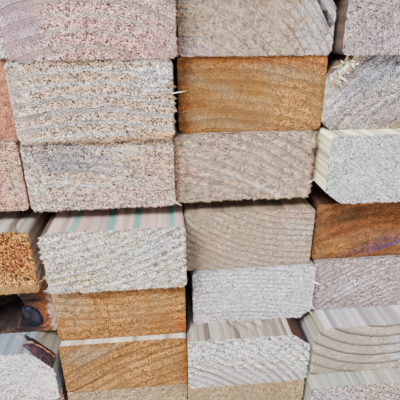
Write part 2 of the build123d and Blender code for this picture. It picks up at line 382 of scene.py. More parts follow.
def section_limit(z, side, wanes, along):
    """How far the section reaches to one side at heights z, at a distance along the stud."""
    past_flat = np.clip(np.abs(z) - (HALF_THICKNESS - EASE), 0, EASE)
    reach = HALF_WIDTH - EASE + np.sqrt(EASE ** 2 - past_flat ** 2)
    for wane in wanes:
        if wane[0] == side:
            pith, radius = log_outside(wane, along)
            half_log = np.sqrt(np.maximum(radius ** 2 - (z - pith[1]) ** 2, 0))
            reach = np.minimum(reach, side * pith[0] + half_log)
    return side * reach


print("studs with wane:", list(WANES))

# %% [markdown]
# ## One stud as one mesh
# The mesh starts with a grid over the near end, fine where the camera comes close. Its border continues
# back along the stud as loops. Behind the first centimetres the loops drop most of their points, because a
# planed face is flat, and the far end closes with a grid of its own. Attributes on the points tell the
# material which tree ring passes there, which tone the wood has and how torn its fibres are.

# %% Rows and columns of the grids
COLUMN_CELLS, ROW_CELLS = 14, 6
CORNER_ROWS = (22.5, 21.9, 20.9, 19.5)
FINE_SPLIT, PLAIN_SPLIT, FAR_SPLIT = 8, 3, 3


def split_stops(stops, parts):
    """The stops with each interval divided into its parts, and the places of the stops among them."""
    values, places = [stops[0]], [0]
    for start, end, count in zip(stops, stops[1:], parts):
        values += list(np.linspace(start, end, count + 1)[1:])
        places.append(len(values) - 1)
    return np.array(values), places


def grid_lines(split):
    """Columns from 0 to 1 and rows in millimetres, each with the places of the stops that all grids share."""
    columns = split_stops(np.linspace(0, 1, COLUMN_CELLS + 1), [split] * COLUMN_CELLS)
    inner = CORNER_ROWS[-1]
    row_stops = [-z for z in CORNER_ROWS] + list(np.linspace(-inner, inner, ROW_CELLS + 1)[1:-1])
    row_stops += list(reversed(CORNER_ROWS))
    corner_parts = [2 if split == FINE_SPLIT else 1] * (len(CORNER_ROWS) - 1)
    rows = split_stops(row_stops, corner_parts + [split] * ROW_CELLS + corner_parts)
    return columns, rows


def section_points(columns, rows, wanes, along):
    """x and z of every grid point of the section at a distance along the stud."""
    left = section_limit(rows, -1, wanes, along)
    right_side = section_limit(rows, 1, wanes, along)
    x = left[None, :] + columns[:, None] * (right_side - left)[None, :]
    return x, np.broadcast_to(rows[None, :], x.shape)


print("columns and rows of a fine end:", [len(values) for values, _ in grid_lines(FINE_SPLIT)])

# %% [markdown]
# ## Relief of a sawn end
# A circular saw leaves shallow marks, tears tufts out of the soft spring wood and passes the hard summer wood
# by, so that the rings stand up as fine ridges. Bump in the material would lose that in a low light and in
# the exported mesh. So depth is worked out at each point of the grid, and bump adds only the finest grain.

# %% Rings, tears and cracks
LINE_START, LINE_FULL, LINE_END = 0.85, 1.1, 0.93
TEAR_STRETCH = 1.45
CRACK_OUTSIDE, CRACK_INSIDE = 0.45, 0.25


def ring_shade(x, z, look):
    """How dark the growth ring is at each point, from 0 in spring wood to 1 in summer wood."""
    radius = np.hypot(x - look["pith"][0], z - look["pith"][1])
    year = (radius / look["gap"]) % 1.0
    rising = smooth_step(year, LINE_START - look["line"], LINE_FULL - look["line"])
    return rising * smooth_step(year, 1.0, LINE_END)


def tear_place(x, z, look):
    """The place on the end in axes that run with and across the way the saw tore the fibres."""
    angle = math.radians(look["tear"])
    with_tear = (x * math.cos(angle) + z * math.sin(angle)) / TEAR_STRETCH
    return with_tear, z * math.cos(angle) - x * math.sin(angle)


def crack_cover(x, z, crack):
    """How much of a crack lies at each point, from 0 to 1. A crack is a bent line through three points."""
    *stops, width, _ = crack
    nearest = np.full(np.shape(x), 1e9)
    for (start_x, start_z), (end_x, end_z) in zip(stops, stops[1:]):
        run_x, run_z = end_x - start_x, end_z - start_z
        share = np.clip(((x - start_x) * run_x + (z - start_z) * run_z) / (run_x ** 2 + run_z ** 2), 0, 1)
        nearest = np.minimum(nearest, np.hypot(x - start_x - share * run_x, z - start_z - share * run_z))
    return smooth_step(nearest, width * 0.5 + CRACK_OUTSIDE, width * 0.5 - CRACK_INSIDE)


# %% How torn each end is, and how deep
LEAST_TORN, TORN_AREA, TORN_RISE = 0.55, 15, (0.3, 0.6)
SMOOTH_EDGE, SMOOTH_EDGE_CELL, SMOOTH_EDGE_SWING = (1.2, 0.6), 5, 0.4
HOLE_WALL, HOLE_BOTTOM, HOLE_WALL_SHARE = (1.0, 0.86), (0.9, 0.1), 0.75
PIT_DEPTH, RING_DEPTH, CRACK_DEPTH = 1.5, 0.35, 1.6
SAW_MARK_DEPTH, SAW_MARK_PITCH, SAW_MARK_SLOPE, SAW_MARK_SWING = 0.15, 4.2, 0.25, 3
FINE_LUMP_SHARE, COARSE_LUMP, LUMP_CONTRAST = 0.65, 2.3, 2.2
SUMMER_CALM = 0.7


def torn_share(x, z, look):
    """How torn the end is at each point, from 0 where the saw cut it clean to 1."""
    areas = value_noise(x, z, TORN_AREA, look["seed"] + 2)
    torn = LEAST_TORN + (1 - LEAST_TORN) * smooth_step(areas, *TORN_RISE)
    for middle_x, middle_z, radius_x, radius_z, strength in look["smooth"]:
        off = np.hypot((x - middle_x) / radius_x, (z - middle_z) / radius_z)
        swing = SMOOTH_EDGE_SWING * (value_noise(x, z, SMOOTH_EDGE_CELL, look["seed"] + 6) - 0.5)
        torn *= 1 - strength * smooth_step(off + swing, *SMOOTH_EDGE)
    return torn


def knot_hole_depth(x, z, hole):
    """Depth of the hole that a dropped knot has left, given by its middle, its two radii and its depth."""
    middle_x, middle_z, radius_x, radius_z, depth = hole
    off = np.hypot((x - middle_x) / radius_x, (z - middle_z) / radius_z)
    wall, bottom = smooth_step(off, *HOLE_WALL), smooth_step(off, *HOLE_BOTTOM)
    return depth * (HOLE_WALL_SHARE * wall + (1 - HOLE_WALL_SHARE) * bottom)


def end_relief(x, z, look):
    """Depth of the sawn end in millimetres, how high the fibres stand and how torn they are, from 0 to 1."""
    seed, cell = look["seed"], look["cell"]
    fine_lumps = value_noise(*tear_place(x, z, look), cell, seed)
    coarse_lumps = value_noise(x, z, cell * COARSE_LUMP, seed + 1)
    lumps = FINE_LUMP_SHARE * fine_lumps + (1 - FINE_LUMP_SHARE) * coarse_lumps
    torn = torn_share(x, z, look)
    rings = ring_shade(x, z, look)
    rough = torn * (1 - look["rings"] * rings * SUMMER_CALM)
    standing = np.clip(0.5 + LUMP_CONTRAST * (lumps - 0.5), 0, 1)
    marks_across = 2 * math.pi * (x + SAW_MARK_SLOPE * z) / SAW_MARK_PITCH
    saw_marks = np.sin(marks_across + SAW_MARK_SWING * value_noise(x, z, 2 * TORN_AREA, seed + 3))
    depth = PIT_DEPTH * look["fuzz"] * rough * (1 - standing)
    depth += SAW_MARK_DEPTH * (0.5 + 0.5 * saw_marks) + RING_DEPTH * look["rings"] * (1 - rings)
    for crack in look["cracks"]:
        depth += CRACK_DEPTH * min(crack[-2], 1) * crack_cover(x, z, crack)
    if "hole" in look:
        depth += knot_hole_depth(x, z, look["hole"])
    return depth, standing, torn


# %% [markdown]
# ## Frayed edges and stains
# At its edges the end frays into wisps, and water, resin and mould stain it in soft streaked areas. Both
# could be painted on a picture of the end, but a picture blurs close by. So wisps move the points of the
# border, and each point keeps a tone of its own, mixed from the palette by smooth noise.

# %% Fraying and stains
FRAY_REACH, FRAY_ZONE_X, FRAY_ZONE_Z = 1.8, (25, 38), (21.4, 22.4)
WISP_SIZE, WISP_GAIN, WISP_FLOOR, WISP_LIMITS = 1.5, 2.0, 1.1, (-0.8, 0.9)
STREAK_SHAPE, STREAK_SWING = (5, 1.8), 0.9
CLOUD_SHAPE, CLOUD_SWING = (1.5, 7), 0.6
PATCH_EDGE, SUMMER_STAIN = (1.4, 0.35), 0.4
LEAST_TINT, TINT_PER_WIDTH, MOST_TINT = 0.25, 0.5, 0.9


def fray(x, z, look):
    """How far the border of the end frays outwards, in millimetres, as x and z."""
    left, right_edge, upper, lower = look["ragged"]
    lumps = value_noise(x, z, WISP_SIZE, look["seed"] + 20)
    wisps = np.clip(lumps * WISP_GAIN - WISP_FLOOR, *WISP_LIMITS)
    out_x = np.where(x > 0, right_edge, -left) * wisps * smooth_step(np.abs(x), *FRAY_ZONE_X)
    out_z = np.where(z > 0, upper, -lower) * wisps * smooth_step(np.abs(z), *FRAY_ZONE_Z)
    return FRAY_REACH * out_x, FRAY_REACH * out_z


def stained(x, z, look, tone):
    """Tone at each point under its patches and cracks, as linear RGBA. Summer wood takes a deeper stain."""
    colour = np.tile(wood(tone), (x.size, 1))
    flat_x, flat_z = x.ravel(), z.ravel()
    deepen = 1.0 if tone == look["light"] else SUMMER_STAIN
    for middle_x, middle_z, radius_x, radius_z, slope, stain, strength in look["patches"]:
        off_x = flat_x - middle_x
        off_z = flat_z - middle_z - slope * off_x
        streaks = value_noise(off_x / STREAK_SHAPE[0], off_z, STREAK_SHAPE[1], look["seed"] + 30) - 0.5
        clouds = value_noise(off_x / CLOUD_SHAPE[0], off_z, CLOUD_SHAPE[1], look["seed"] + 31) - 0.5
        off = np.hypot(off_x / radius_x, off_z / radius_z) + STREAK_SWING * streaks + CLOUD_SWING * clouds
        cover = smooth_step(off, *PATCH_EDGE) * strength
        target = wood(stain) * (deepen, deepen, deepen, 1)
        colour += cover[:, None] * (target - colour)
    for crack in look["cracks"]:
        tint = min(MOST_TINT, LEAST_TINT + TINT_PER_WIDTH * crack[-2])
        cover = crack_cover(flat_x, flat_z, crack) * tint
        colour += cover[:, None] * (wood(crack[-1]) - colour)
    return colour


# %% [markdown]
# ## From the near end to the far end
# The planed faces are spanned between loops round the stud. The first ones are close together, so that the
# frayed edge can settle, and a last pair near the far end keeps its torn finish off the planed faces. A box
# from Blender would do for the faces, but its points would not meet those of the two sawn ends.

# %% Loops of one stud
NEAR_LOOPS = (0.7, 2.0, 5.0, 11.0, 24.0, 60.0)
LONG_LOOPS = (160.0, 400.0, 800.0, 1300.0, 1900.0, 2370.0, 2397.4)


def once_round(column_count, row_count):
    """Places of a grid's border, once round from the lower left."""
    last_c, last_r = column_count - 1, row_count - 1
    places = [(c, 0) for c in range(last_c)] + [(last_c, r) for r in range(last_r)]
    return places + [(c, last_r) for c in range(last_c, 0, -1)] + [(0, r) for r in range(last_r, 0, -1)]


def border_places(columns, rows):
    """Places of the border, and which of them every loop shares."""
    (column_values, column_stops), (row_values, row_stops) = columns, rows
    last_c, last_r = len(column_values) - 1, len(row_values) - 1
    places = once_round(len(column_values), len(row_values))
    shared = [i for i, (c, r) in enumerate(places)
              if (r in (0, last_r) and c in column_stops) or (c in (0, last_c) and r in row_stops)]
    return places, shared


def grid_faces(first, column_count, row_count, flip):
    """Quads of a grid whose points are numbered row by row within each column."""
    corner = first + np.arange(column_count - 1)[:, None] * row_count + np.arange(row_count - 1)[None, :]
    corner = corner.ravel()
    quads = np.stack([corner, corner + row_count, corner + row_count + 1, corner + 1], axis=1)
    return (quads[:, ::-1] if flip else quads).tolist()


def wall_faces(near, near_shared, far, far_shared):
    """Faces between two closed loops of point numbers that share some of their points' places."""
    faces = []
    near_ends = near_shared[1:] + [len(near)]
    far_ends = far_shared[1:] + [len(far)]
    for near_start, near_end, far_start, far_end in zip(near_shared, near_ends, far_shared, far_ends):
        near_run = [near[i % len(near)] for i in range(near_start, near_end + 1)]
        far_run = [far[i % len(far)] for i in range(far_start, far_end + 1)]
        faces.append(far_run + near_run[::-1])
    return faces


# %% Sawn ends of a stud
EDGE_DROP, EDGE_DROP_CELL = 0.5, 2.0


def end_grid(split, wanes, along, look):
    """The grid of a sawn end: x, z and depth of its points, their fibres and tears, and its border."""
    columns, rows = grid_lines(split)
    x, z = section_points(columns[0], rows[0], wanes, along)
    depth, fibres, torn = end_relief(x, z, look)
    places, shared = border_places(columns, rows)
    return dict(columns=columns[0], rows=rows[0], x=x, z=z, depth=depth, fibres=fibres, torn=torn,
                places=places, shared=shared)


def near_end(name, look):
    """The near end, with a border that frays and drops a little."""
    end = end_grid(FINE_SPLIT if name in LOOKS else PLAIN_SPLIT, WANES.get(name, []), 0.0, look)
    x, z = end["x"], end["z"]
    on_border = np.zeros(x.shape, bool)
    on_border[tuple(np.array(end["places"]).T)] = True
    fray_x, fray_z = fray(x, z, look)
    drop = on_border * EDGE_DROP * value_noise(x, z, EDGE_DROP_CELL, look["seed"] + 9)
    return end | dict(depth=end["depth"] + drop, x=x + fray_x * on_border, z=z + fray_z * on_border,
                      fray_x=fray_x, fray_z=fray_z)


def far_end(look, length):
    """The far end, coarser and plainer."""
    far_look = {key: value for key, value in look.items() if key != "hole"}
    return end_grid(FAR_SPLIT, [], length, far_look | dict(seed=look["seed"] + 500, cracks=[], smooth=[]))


# %% Surface of one stud
FIRST_LOOP_FRAY = 0.6
HALF_STANDING = 0.5


def stud_frame(name):
    """Middle of the stud's section, the place of its near end and its length, in millimetres."""
    low, high = (np.array(corner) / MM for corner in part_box(f"stud_{name}"))
    return (low[0] + high[0]) / 2, (low[2] + high[2]) / 2, low[1], high[1] - low[1]


def stud_surface(name, look, length):
    """Points and faces of a stud. A point has its place, its share in a sawn end, its fibres and tears."""
    wanes, blocks, faces = WANES.get(name, []), [], []

    def put(x, along, z, end_share, fibres, torn):
        """Adds points and gives the number of the first of them."""
        first = sum(len(block) for block in blocks)
        blocks.append(np.stack([np.broadcast_to(values, np.shape(x)).ravel()
                                for values in (x, along, z, end_share, fibres, torn)], axis=1))
        return first

    def put_end(end, along, flip):
        """Adds a sawn end with its faces and gives the loop of its border."""
        first = put(end["x"], along, end["z"], 1, end["fibres"], end["torn"])
        faces.extend(grid_faces(first, len(end["columns"]), len(end["rows"]), flip))
        return [first + c * len(end["rows"]) + r for c, r in end["places"]]

    near, far = near_end(name, look), far_end(look, length)
    loop, shared = put_end(near, near["depth"], False), near["shared"]
    picked, everyone = tuple(np.array(near["places"]).T), list(range(len(near["places"])))
    for along in NEAR_LOOPS:
        x, z = section_points(near["columns"], near["rows"], wanes, along)
        share = FIRST_LOOP_FRAY if along == NEAR_LOOPS[0] else 0.0
        first = put((x + share * near["fray_x"])[picked], along, (z + share * near["fray_z"])[picked],
                    0, HALF_STANDING, 0)
        next_loop = list(range(first, first + len(everyone)))
        faces.extend(wall_faces(loop, everyone, next_loop, everyone))
        loop = next_loop
    base_columns, base_rows = grid_lines(1)
    base_places, base_shared = border_places(base_columns, base_rows)
    picked = tuple(np.array(base_places).T)
    for along in LONG_LOOPS:
        x, z = section_points(base_columns[0], base_rows[0], wanes, along)
        first = put(x[picked], along, z[picked], 0, HALF_STANDING, 0)
        next_loop = list(range(first, first + len(base_places)))
        faces.extend(wall_faces(loop, shared, next_loop, base_shared))
        loop, shared = next_loop, base_shared
    faces.extend(wall_faces(loop, shared, put_end(far, length - far["depth"], True), far["shared"]))
    return np.concatenate(blocks), faces


# %% Tones and paint of one stud
WANE_MARGIN, WANE_STREAK = 0.15, 0.4
PAINT_MARKS = {"4c": ((-25.0, -2.0, 14.5, 37.0), 2.0, 2.0, 24.0)}
PAINT_OUTSIDE, PAINT_INSIDE = 0.6, 0.4


def on_wane(x, z, along, wanes):
    """Whether each point lies on the round outside of the log."""
    found = np.zeros(len(x), bool)
    for wane in wanes:
        pith, radius = log_outside(wane, along)
        found |= np.hypot(x - pith[0], z - pith[1]) > radius - WANE_MARGIN
    return found


def wood_tones(name, look, x, along, z, at_near_end):
    """Spring and summer tone of each point: stained on the near end, one tone elsewhere and one on a wane."""
    light, dark = (stained(x, z, look, look[part]) for part in ("light", "dark"))
    light[~at_near_end], dark[~at_near_end] = wood(look["sides"]), wood(look["dark"])
    waned = on_wane(x, z, along, WANES.get(name, [])) & ~at_near_end
    light[waned], dark[waned] = wood(look["wane_tone"]), wood(look["wane_tone"]) * WANE_STREAK
    return light, dark


def painted(name, x, z, along):
    """How much paint lies on each point of the upper face, from 0 to 1."""
    cover = np.zeros(len(x))
    if name in PAINT_MARKS:
        middles, half_width, start, end = PAINT_MARKS[name]
        for middle in middles:
            cover += smooth_step(np.abs(x - middle), half_width + PAINT_OUTSIDE, half_width - PAINT_INSIDE)
        cover *= (z > HALF_THICKNESS - 0.1) & (along >= start) & (along <= end)
    return cover


# %% Mesh of one stud
ATTRIBUTE_FIELDS = {"FLOAT": "value", "FLOAT_VECTOR": "vector", "FLOAT_COLOR": "color"}
GRAIN_DRIFT = 0.008
NEXT_STUD_ALONG, NEXT_STUD_TEAR = 777, 91
TEAR_ALONG = 0.02
SHARP_EDGE = math.radians(50)


def write_attribute(mesh, name, kind, values):
    """Stores one value for each point of the mesh."""
    attribute = mesh.attributes.new(name, kind, "POINT")
    attribute.data.foreach_set(ATTRIBUTE_FIELDS[kind], np.ascontiguousarray(values, dtype=np.float32).ravel())


def add_wood(name, mesh):
    """Adds a finished mesh to the scene as a wooden piece that stays with the bundle."""
    piece = bpy.data.objects.new(name, mesh)
    bpy.context.collection.objects.link(piece)
    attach(piece, "root")
    return piece


def make_stud(name, order):
    """One stud as a closed mesh in metres, with the attributes that its material reads."""
    middle_x, middle_z, near_y, length = stud_frame(name)
    look = look_of(name, order)
    surface, faces = stud_surface(name, look, length)
    x, along, z, end_share, fibres, torn = surface.T
    mesh = bpy.data.meshes.new(f"sawn_stud_{name}")
    mesh.from_pydata(((surface[:, :3] + (middle_x, near_y, middle_z)) * MM).tolist(), [], faces)
    drift_x, drift_z = np.random.RandomState(900 + order).uniform(-GRAIN_DRIFT, GRAIN_DRIFT, 2)
    grain = np.stack([x - look["pith"][0] - drift_x * along, along + order * NEXT_STUD_ALONG,
                      z - look["pith"][1] - drift_z * along], axis=1)
    with_tear, across = tear_place(x, z, look)
    tear = np.stack([with_tear, along * TEAR_ALONG + order * NEXT_STUD_TEAR, across], axis=1) / look["fleck"]
    contrast = np.where(end_share > 0.5, look["rings"], look["stripes"])
    finish = np.stack([contrast, TORN_STEPS[look["rough"]] * torn, end_share], axis=1)
    ring_sizes = np.stack([np.full(len(x), look["gap"] * MM), np.full(len(x), look["line"]),
                           painted(name, x, z, along)], axis=1)
    light, dark = wood_tones(name, look, x, along, z, (end_share > 0.5) & (along < length / 2))
    write_attribute(mesh, "grain", "FLOAT_VECTOR", grain * MM)
    write_attribute(mesh, "finish", "FLOAT_VECTOR", finish)
    write_attribute(mesh, "tear", "FLOAT_VECTOR", tear * MM)
    write_attribute(mesh, "ring_sizes", "FLOAT_VECTOR", ring_sizes)
    write_attribute(mesh, "standing", "FLOAT", fibres)
    write_attribute(mesh, "wood_light", "FLOAT_COLOR", light)
    write_attribute(mesh, "wood_dark", "FLOAT_COLOR", dark)
    mesh.polygons.foreach_set("use_smooth", [True] * len(mesh.polygons))
    mesh.set_sharp_from_angle(angle=SHARP_EDGE)
    mesh.materials.append(weathered_pine)
    stud = add_wood(f"sawn_stud_{name}", mesh)
    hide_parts(f"stud_{name}")
    return stud


print("loops round each stud:", len(NEAR_LOOPS) + len(LONG_LOOPS))

# %% [markdown]
# ## Weathered pine
# Plantation pine, planed and left outdoors: pale spring wood, darker resinous summer wood, and a grey
# bloom. A picture of wood would repeat on 48 studs, so the wood is worked out from its place instead. The
# rings are cylinders round the pith, and one field gives arcs on the ends and long stripes on the faces. A
# noise bends them a little, and each year gets a strength of its own. Knots are drawn on the faces only,
# because they lie across the stud, and the rings swirl round them.

# %% Rings and knots
MATH, VECTOR_MATH, RANGE = "ShaderNodeMath", "ShaderNodeVectorMath", "ShaderNodeMapRange"
MIX, NOISE, CELLS = "ShaderNodeMix", "ShaderNodeTexNoise", "ShaderNodeTexVoronoi"
ATTRIBUTE, PLACES, MAPPING = "ShaderNodeAttribute", "ShaderNodeTexCoord", "ShaderNodeMapping"
SEPARATE, BUMP, SHADER = "ShaderNodeSeparateXYZ", "ShaderNodeBump", "ShaderNodeBsdfPrincipled"
OUTPUT = "ShaderNodeOutputMaterial"
RING_WOBBLE, WOBBLE_SIZE, SLOW_ALONG = 1.8 * MM, 24 * MM, (1, 0.06, 1)
YEAR_STRENGTH, EDGE_RISE = (0.5, 1.0), (0.82, 0.92)
KNOT_SPACING, KNOT_RADIUS, KNOT_SWIRL = 62 * MM, 9 * MM, 10 * MM


def knots_on_faces(add, grain, on_end):
    """How much knot there is, and how far it pushes the rings aside."""
    spots = add(CELLS, {"Vector": grain, "Scale": 1 / KNOT_SPACING})
    away = add(MATH, {0: spots.outputs["Distance"], 1: KNOT_SPACING}, operation="MULTIPLY")
    on_side = add(MATH, {0: 1.0, 1: on_end}, operation="SUBTRACT")
    inside = add(RANGE, {0: away, 1: KNOT_RADIUS, 2: KNOT_RADIUS * 0.8, 3: 0.0, 4: on_side})
    swirl = add(RANGE, {0: away, 1: KNOT_RADIUS * 3, 2: KNOT_RADIUS * 0.5, 3: 0.0, 4: KNOT_SWIRL},
                interpolation_type="SMOOTHSTEP")
    return inside, add(MATH, {0: swirl, 1: on_side}, operation="MULTIPLY")


def growth_rings(add, grain, swirl, gap, line):
    """Summer wood of each ring and its dark edge, partly painted shadow, from 0 to 1, and how strong that
    year is.
    """
    bent = add(VECTOR_MATH, {0: grain, 1: SLOW_ALONG}, operation="MULTIPLY")
    wobble = add(NOISE, {"Vector": bent, "Scale": 1 / WOBBLE_SIZE, "Detail": 2.0})
    shift = add(RANGE, {0: wobble, 1: 0.0, 2: 1.0, 3: -RING_WOBBLE, 4: RING_WOBBLE}, clamp=False)
    across = add(VECTOR_MATH, {0: grain, 1: (1, 0, 1)}, operation="MULTIPLY")
    radius = add(VECTOR_MATH, {0: across}, operation="LENGTH").outputs["Value"]
    shifted = add(MATH, {0: radius, 1: shift}, operation="ADD")
    swirled = add(MATH, {0: shifted, 1: swirl}, operation="ADD")
    years = add(MATH, {0: swirled, 1: gap}, operation="DIVIDE")
    year = add(MATH, {0: years}, operation="FLOOR")
    season = add(MATH, {0: years}, operation="FRACT")
    line_start = add(MATH, {0: LINE_START, 1: line}, operation="SUBTRACT")
    line_full = add(MATH, {0: LINE_FULL, 1: line}, operation="SUBTRACT")
    rising = add(RANGE, {0: season, 1: line_start, 2: line_full}, interpolation_type="SMOOTHSTEP")
    falling = add(RANGE, {0: season, 1: 1.0, 2: LINE_END}, interpolation_type="SMOOTHSTEP")
    band = add(MATH, {0: rising, 1: falling}, operation="MULTIPLY")
    chance = add("ShaderNodeTexWhiteNoise", {"W": year}, noise_dimensions="1D").outputs["Value"]
    strength = add(RANGE, {0: chance, 1: 0.0, 2: 1.0, 3: YEAR_STRENGTH[0], 4: YEAR_STRENGTH[1]})
    # The dark outer edge of each ring is partly darker late wood and partly a painted shadow under the summer
    # wood's ridge.
    nearing = add(RANGE, {0: season, 1: EDGE_RISE[0], 2: EDGE_RISE[1]}, interpolation_type="SMOOTHSTEP")
    edge = add(MATH, {0: nearing, 1: falling}, operation="MULTIPLY")
    return band, edge, strength


# %% [markdown]
# ## Torn end grain
# Under the saw the end breaks into small tufts, each about a millimetre across and drawn out the way the
# blade went. A tuft that stands up is drawn nearly white, partly as pale torn fibre and partly as a painted
# highlight, and a pit where one is gone is drawn brown with painted shade; most of the end lies between the
# two. As shapes they would be millions, so one fine noise and some larger clumps give their height, for the
# colour and for the bump. The hard summer wood of each ring cuts clean, so it stays smooth between the
# speckled bands of spring wood.

# %% Tufts and pits
TUFT_SIZE, CLUMP_SIZE = 0.6 * MM, 2.6 * MM
CLUMP_SHARE, STANDING_SHARE = 0.22, 0.06
TIP_HIGHLIGHT_REACH, PIT_SHADE_REACH = 0.07, 0.07
RING_CALM = 0.8


def torn_tufts(add, tear, standing):
    """Painted highlight high on tufts and painted shade deep in pits, from 0 to 1, and the height for the
    bump.
    """
    tufts = add(NOISE, {"Vector": tear, "Scale": 1 / TUFT_SIZE, "Detail": 1.0})
    clumps = add(NOISE, {"Vector": tear, "Scale": 1 / CLUMP_SIZE, "Detail": 1.0})
    clumped = add(MATH, {0: clumps, 1: CLUMP_SHARE, 2: tufts}, operation="MULTIPLY_ADD")
    height = add(MATH, {0: standing, 1: STANDING_SHARE, 2: clumped}, operation="MULTIPLY_ADD")
    middle = 0.5 + 0.5 * CLUMP_SHARE + 0.5 * STANDING_SHARE
    tip_highlight = add(RANGE, {0: height, 1: middle, 2: middle + TIP_HIGHLIGHT_REACH})
    pit_shade = add(RANGE, {0: height, 1: middle, 2: middle - PIT_SHADE_REACH})
    return tip_highlight, pit_shade, height


# %% Colour of the end grain
# The edge of each ring darkens the wood, partly as darker late wood and partly as painted shadow under the
# ridge.
SUMMER_SHARE, EDGE_LINE_AND_SHADOW = 0.85, 0.5
# Tufts get a painted highlight and pits painted shade: these gains lighten and darken the wood as the relief
# would be lit and shaded.
TIP_HIGHLIGHT_GAIN, PIT_SHADE_GAIN = (3.0, 2.9, 2.95, 1), (0.25, 0.21, 0.18, 1)


def end_grain(add, light, dark, summer, edge, rough, tip_highlight, pit_shade):
    """Wood colour: rings, then painted highlight on tips and painted shade in pits, then the dark edge of
    each ring.
    """
    summer_share = add(MATH, {0: summer, 1: SUMMER_SHARE}, operation="MULTIPLY")
    colour = add(MIX, {0: summer_share, 6: light, 7: dark}, data_type="RGBA")
    calm = add(MATH, {0: summer, 1: -RING_CALM, 2: 1.0}, operation="MULTIPLY_ADD")
    torn = add(MATH, {0: rough, 1: calm}, operation="MULTIPLY")
    gains = {"data_type": "RGBA", "blend_type": "MULTIPLY"}
    tip_highlight_colour = add(MIX, {0: 1.0, 6: colour, 7: TIP_HIGHLIGHT_GAIN}, clamp_result=True, **gains)
    pit_shade_colour = add(MIX, {0: 1.0, 6: colour, 7: PIT_SHADE_GAIN}, **gains)
    tip_highlight_share = add(MATH, {0: tip_highlight, 1: torn}, operation="MULTIPLY", use_clamp=True)
    pit_shade_share = add(MATH, {0: pit_shade, 1: torn}, operation="MULTIPLY", use_clamp=True)
    # Painted highlight on the tufts, then painted shade in the pits.
    colour = add(MIX, {0: tip_highlight_share, 6: colour, 7: tip_highlight_colour}, data_type="RGBA")
    colour = add(MIX, {0: pit_shade_share, 6: colour, 7: pit_shade_colour}, data_type="RGBA")
    # Darker late wood and painted shadow along the outer edge of each ring.
    edge_shade = add(MATH, {0: edge, 1: -EDGE_LINE_AND_SHADOW, 2: 1.0}, operation="MULTIPLY_ADD")
    return add(VECTOR_MATH, {0: colour, 3: edge_shade}, operation="SCALE")


# %% Streaks, bloom, knots and paint
STREAK_SIZE, STREAK_ALONG, STREAK_GAIN = 5 * MM, (1, 0.01, 1), (-0.5, 0.6)
BLOOM_SIZE, BLOOM_MOST, BLOOM_TONE = 16 * MM, 0.1, "#A8A49C"
KNOT_TONE, PAINT_TONE = "#583420", "#40A898"


def weathered(add, colour, grain, on_end, contrast):
    """The colour with long streaks on the planed faces, and a grey bloom over everything."""
    long_way = add(VECTOR_MATH, {0: grain, 1: STREAK_ALONG}, operation="MULTIPLY")
    streaks = add(NOISE, {"Vector": long_way, "Scale": 1 / STREAK_SIZE, "Detail": 2.0})
    swing = add(RANGE, {0: streaks, 1: 0.35, 2: 0.65, 3: STREAK_GAIN[0], 4: STREAK_GAIN[1]})
    on_face = add(MATH, {0: 1.0, 1: on_end}, operation="SUBTRACT")
    face_share = add(MATH, {0: on_face, 1: contrast}, operation="MULTIPLY")
    streak_gain = add(MATH, {0: swing, 1: face_share, 2: 1.0}, operation="MULTIPLY_ADD")
    colour = add(VECTOR_MATH, {0: colour, 3: streak_gain}, operation="SCALE")
    bent = add(VECTOR_MATH, {0: grain, 1: SLOW_ALONG}, operation="MULTIPLY")
    clouds = add(NOISE, {"Vector": bent, "Scale": 1 / BLOOM_SIZE, "Detail": 3.0})
    bloom = add(RANGE, {0: clouds, 1: 0.4, 2: 0.7, 3: 0.0, 4: BLOOM_MOST})
    return add(MIX, {0: bloom, 6: colour, 7: linear(BLOOM_TONE)}, data_type="RGBA")


def marked(add, colour, knot, paint, height):
    """The colour with its knots, and with paint that lies thickest on the fibres that stand up."""
    colour = add(MIX, {0: knot, 6: colour, 7: linear(KNOT_TONE)}, data_type="RGBA")
    worn = add(RANGE, {0: height, 1: 0.5, 2: 0.8, 3: 0.5, 4: 0.9})
    paint_share = add(MATH, {0: paint, 1: worn}, operation="MULTIPLY")
    return add(MIX, {0: paint_share, 6: colour, 7: linear(PAINT_TONE)}, data_type="RGBA")


# %% Material of the studs
PINE_ROUGHNESS, PINE_GLINT = 0.85, 0.25
COLOUR_DEPTH = 1.35
BUMP_DEPTH, LEAST_BUMP, RING_BUMP = 0.5 * MM, 0.12, 0.3
VECTOR_ATTRIBUTES = ("grain", "tear", "finish", "ring_sizes", "wood_light", "wood_dark")


